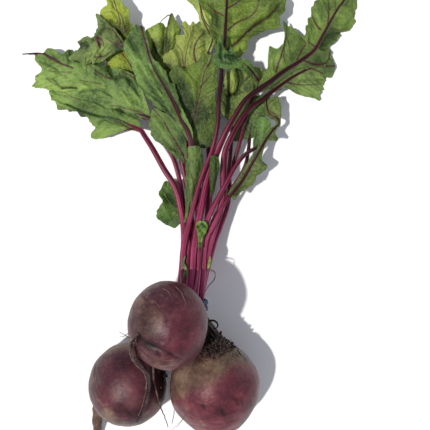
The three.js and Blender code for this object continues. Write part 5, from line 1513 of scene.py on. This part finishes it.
ROOT_SKIN = root_material()
STALK_SKIN = stalk_material()
BROWN = plain_material("brown_root", ("#2b1e1a", "#503d35", "#745f54"), 0.7, 300)
DARK = plain_material("dark_root", ("#120b09", "#261a15", "#463528"), 0.75, 400)
GREEN = plain_material("green_scrap", ("#23391a", "#3d5726", "#647c40"), 0.5, 150)
TAN = plain_material("tan_strand", ("#4b3430", "#624943", "#78605a"), 0.7, 300)
YELLOW = plain_material("yellow_scrap", ("#4c5c20", "#76853a", "#9ba75c"), 0.5, 150)

for root_name, root_shape in ROOTS.items():
    root_piece(root_name, root_shape)
    crown_piece(root_name, root_shape)

for order, (leaf_name, leaf_shape) in enumerate(LEAVES.items()):
    blade_piece(leaf_name, leaf_shape, 10 * order + 1)
    stalk_piece(leaf_name, leaf_shape)

tie_piece()

hair_piece("rootlets", ROOTLETS, BROWN)
hair_piece("pale_strands", PALE_STRANDS, TAN)
hair_piece("crown_curls", CROWN_CURLS, DARK)
hair_piece("loose_hairs", LOOSE_HAIRS, BROWN)
scrap_piece("leaf_scrap_left", LEFT_SCRAP, GREEN)
scrap_piece("leaf_scrap_right", RIGHT_SCRAP, YELLOW)

# Floor, lights and camera: the camera looks straight down on the middle of the bunch.
FLOOR_REACH = 3.0
SUN_ELEVATION = math.radians(68)
SUN_BEARING = math.radians(204)
SENSOR = 36.0
PHOTO_PIXELS = 430
SUN_STRENGTH = 3.1
SUN_WIDTH = math.radians(2.2)
SUN_COLOUR = (1.0, 0.98, 0.95)
SKY_COLOUR = (0.92, 0.97, 1.08, 1)
SKY_STRENGTH = 0.44

floor_mesh = bpy.data.meshes.new("floor")
floor_corners = [(x * FLOOR_REACH, y * FLOOR_REACH, 0) for x, y in ((-1, -1), (1, -1), (1, 1), (-1, 1))]
floor_mesh.from_pydata(floor_corners, [], [(0, 1, 2, 3)])
floor = add_object("floor", floor_mesh)
paper = Material("floor_paper", roughness=0.85, specular=0.2)
paper_grain = paper.noise(paper.where, 6, 3)
paper.fill(paper.shader, {"Base Color": paper.ramp(paper_grain, (0.3, 0.7), ("#f6f6f6", "#fbfbfb"))})
floor_mesh.materials.append(paper.data)

world = bpy.data.worlds.new("studio")
world.use_nodes = True
background = world.node_tree.nodes["Background"]
background.inputs["Color"].default_value = SKY_COLOUR
background.inputs["Strength"].default_value = SKY_STRENGTH
bpy.context.scene.world = world

sun = bpy.data.lights.new("key", "SUN")
sun.energy = SUN_STRENGTH
sun.angle = SUN_WIDTH
sun.color = SUN_COLOUR
add_object("key", sun).rotation_euler = (math.pi / 2 - SUN_ELEVATION, 0, SUN_BEARING + math.pi / 2)

bpy.context.scene.view_settings.view_transform = "Standard"

camera = bpy.data.cameras.new("camera")
camera.sensor_width = SENSOR
camera.lens = SENSOR * CAMERA_HEIGHT / (PHOTO_PIXELS * DRAWING_STEP)
camera.clip_start = 0.01
camera.clip_end = 20
camera_object = add_object("camera", camera)
camera_object.location = place([0, 0, CAMERA_HEIGHT])
bpy.context.scene.camera = camera_object
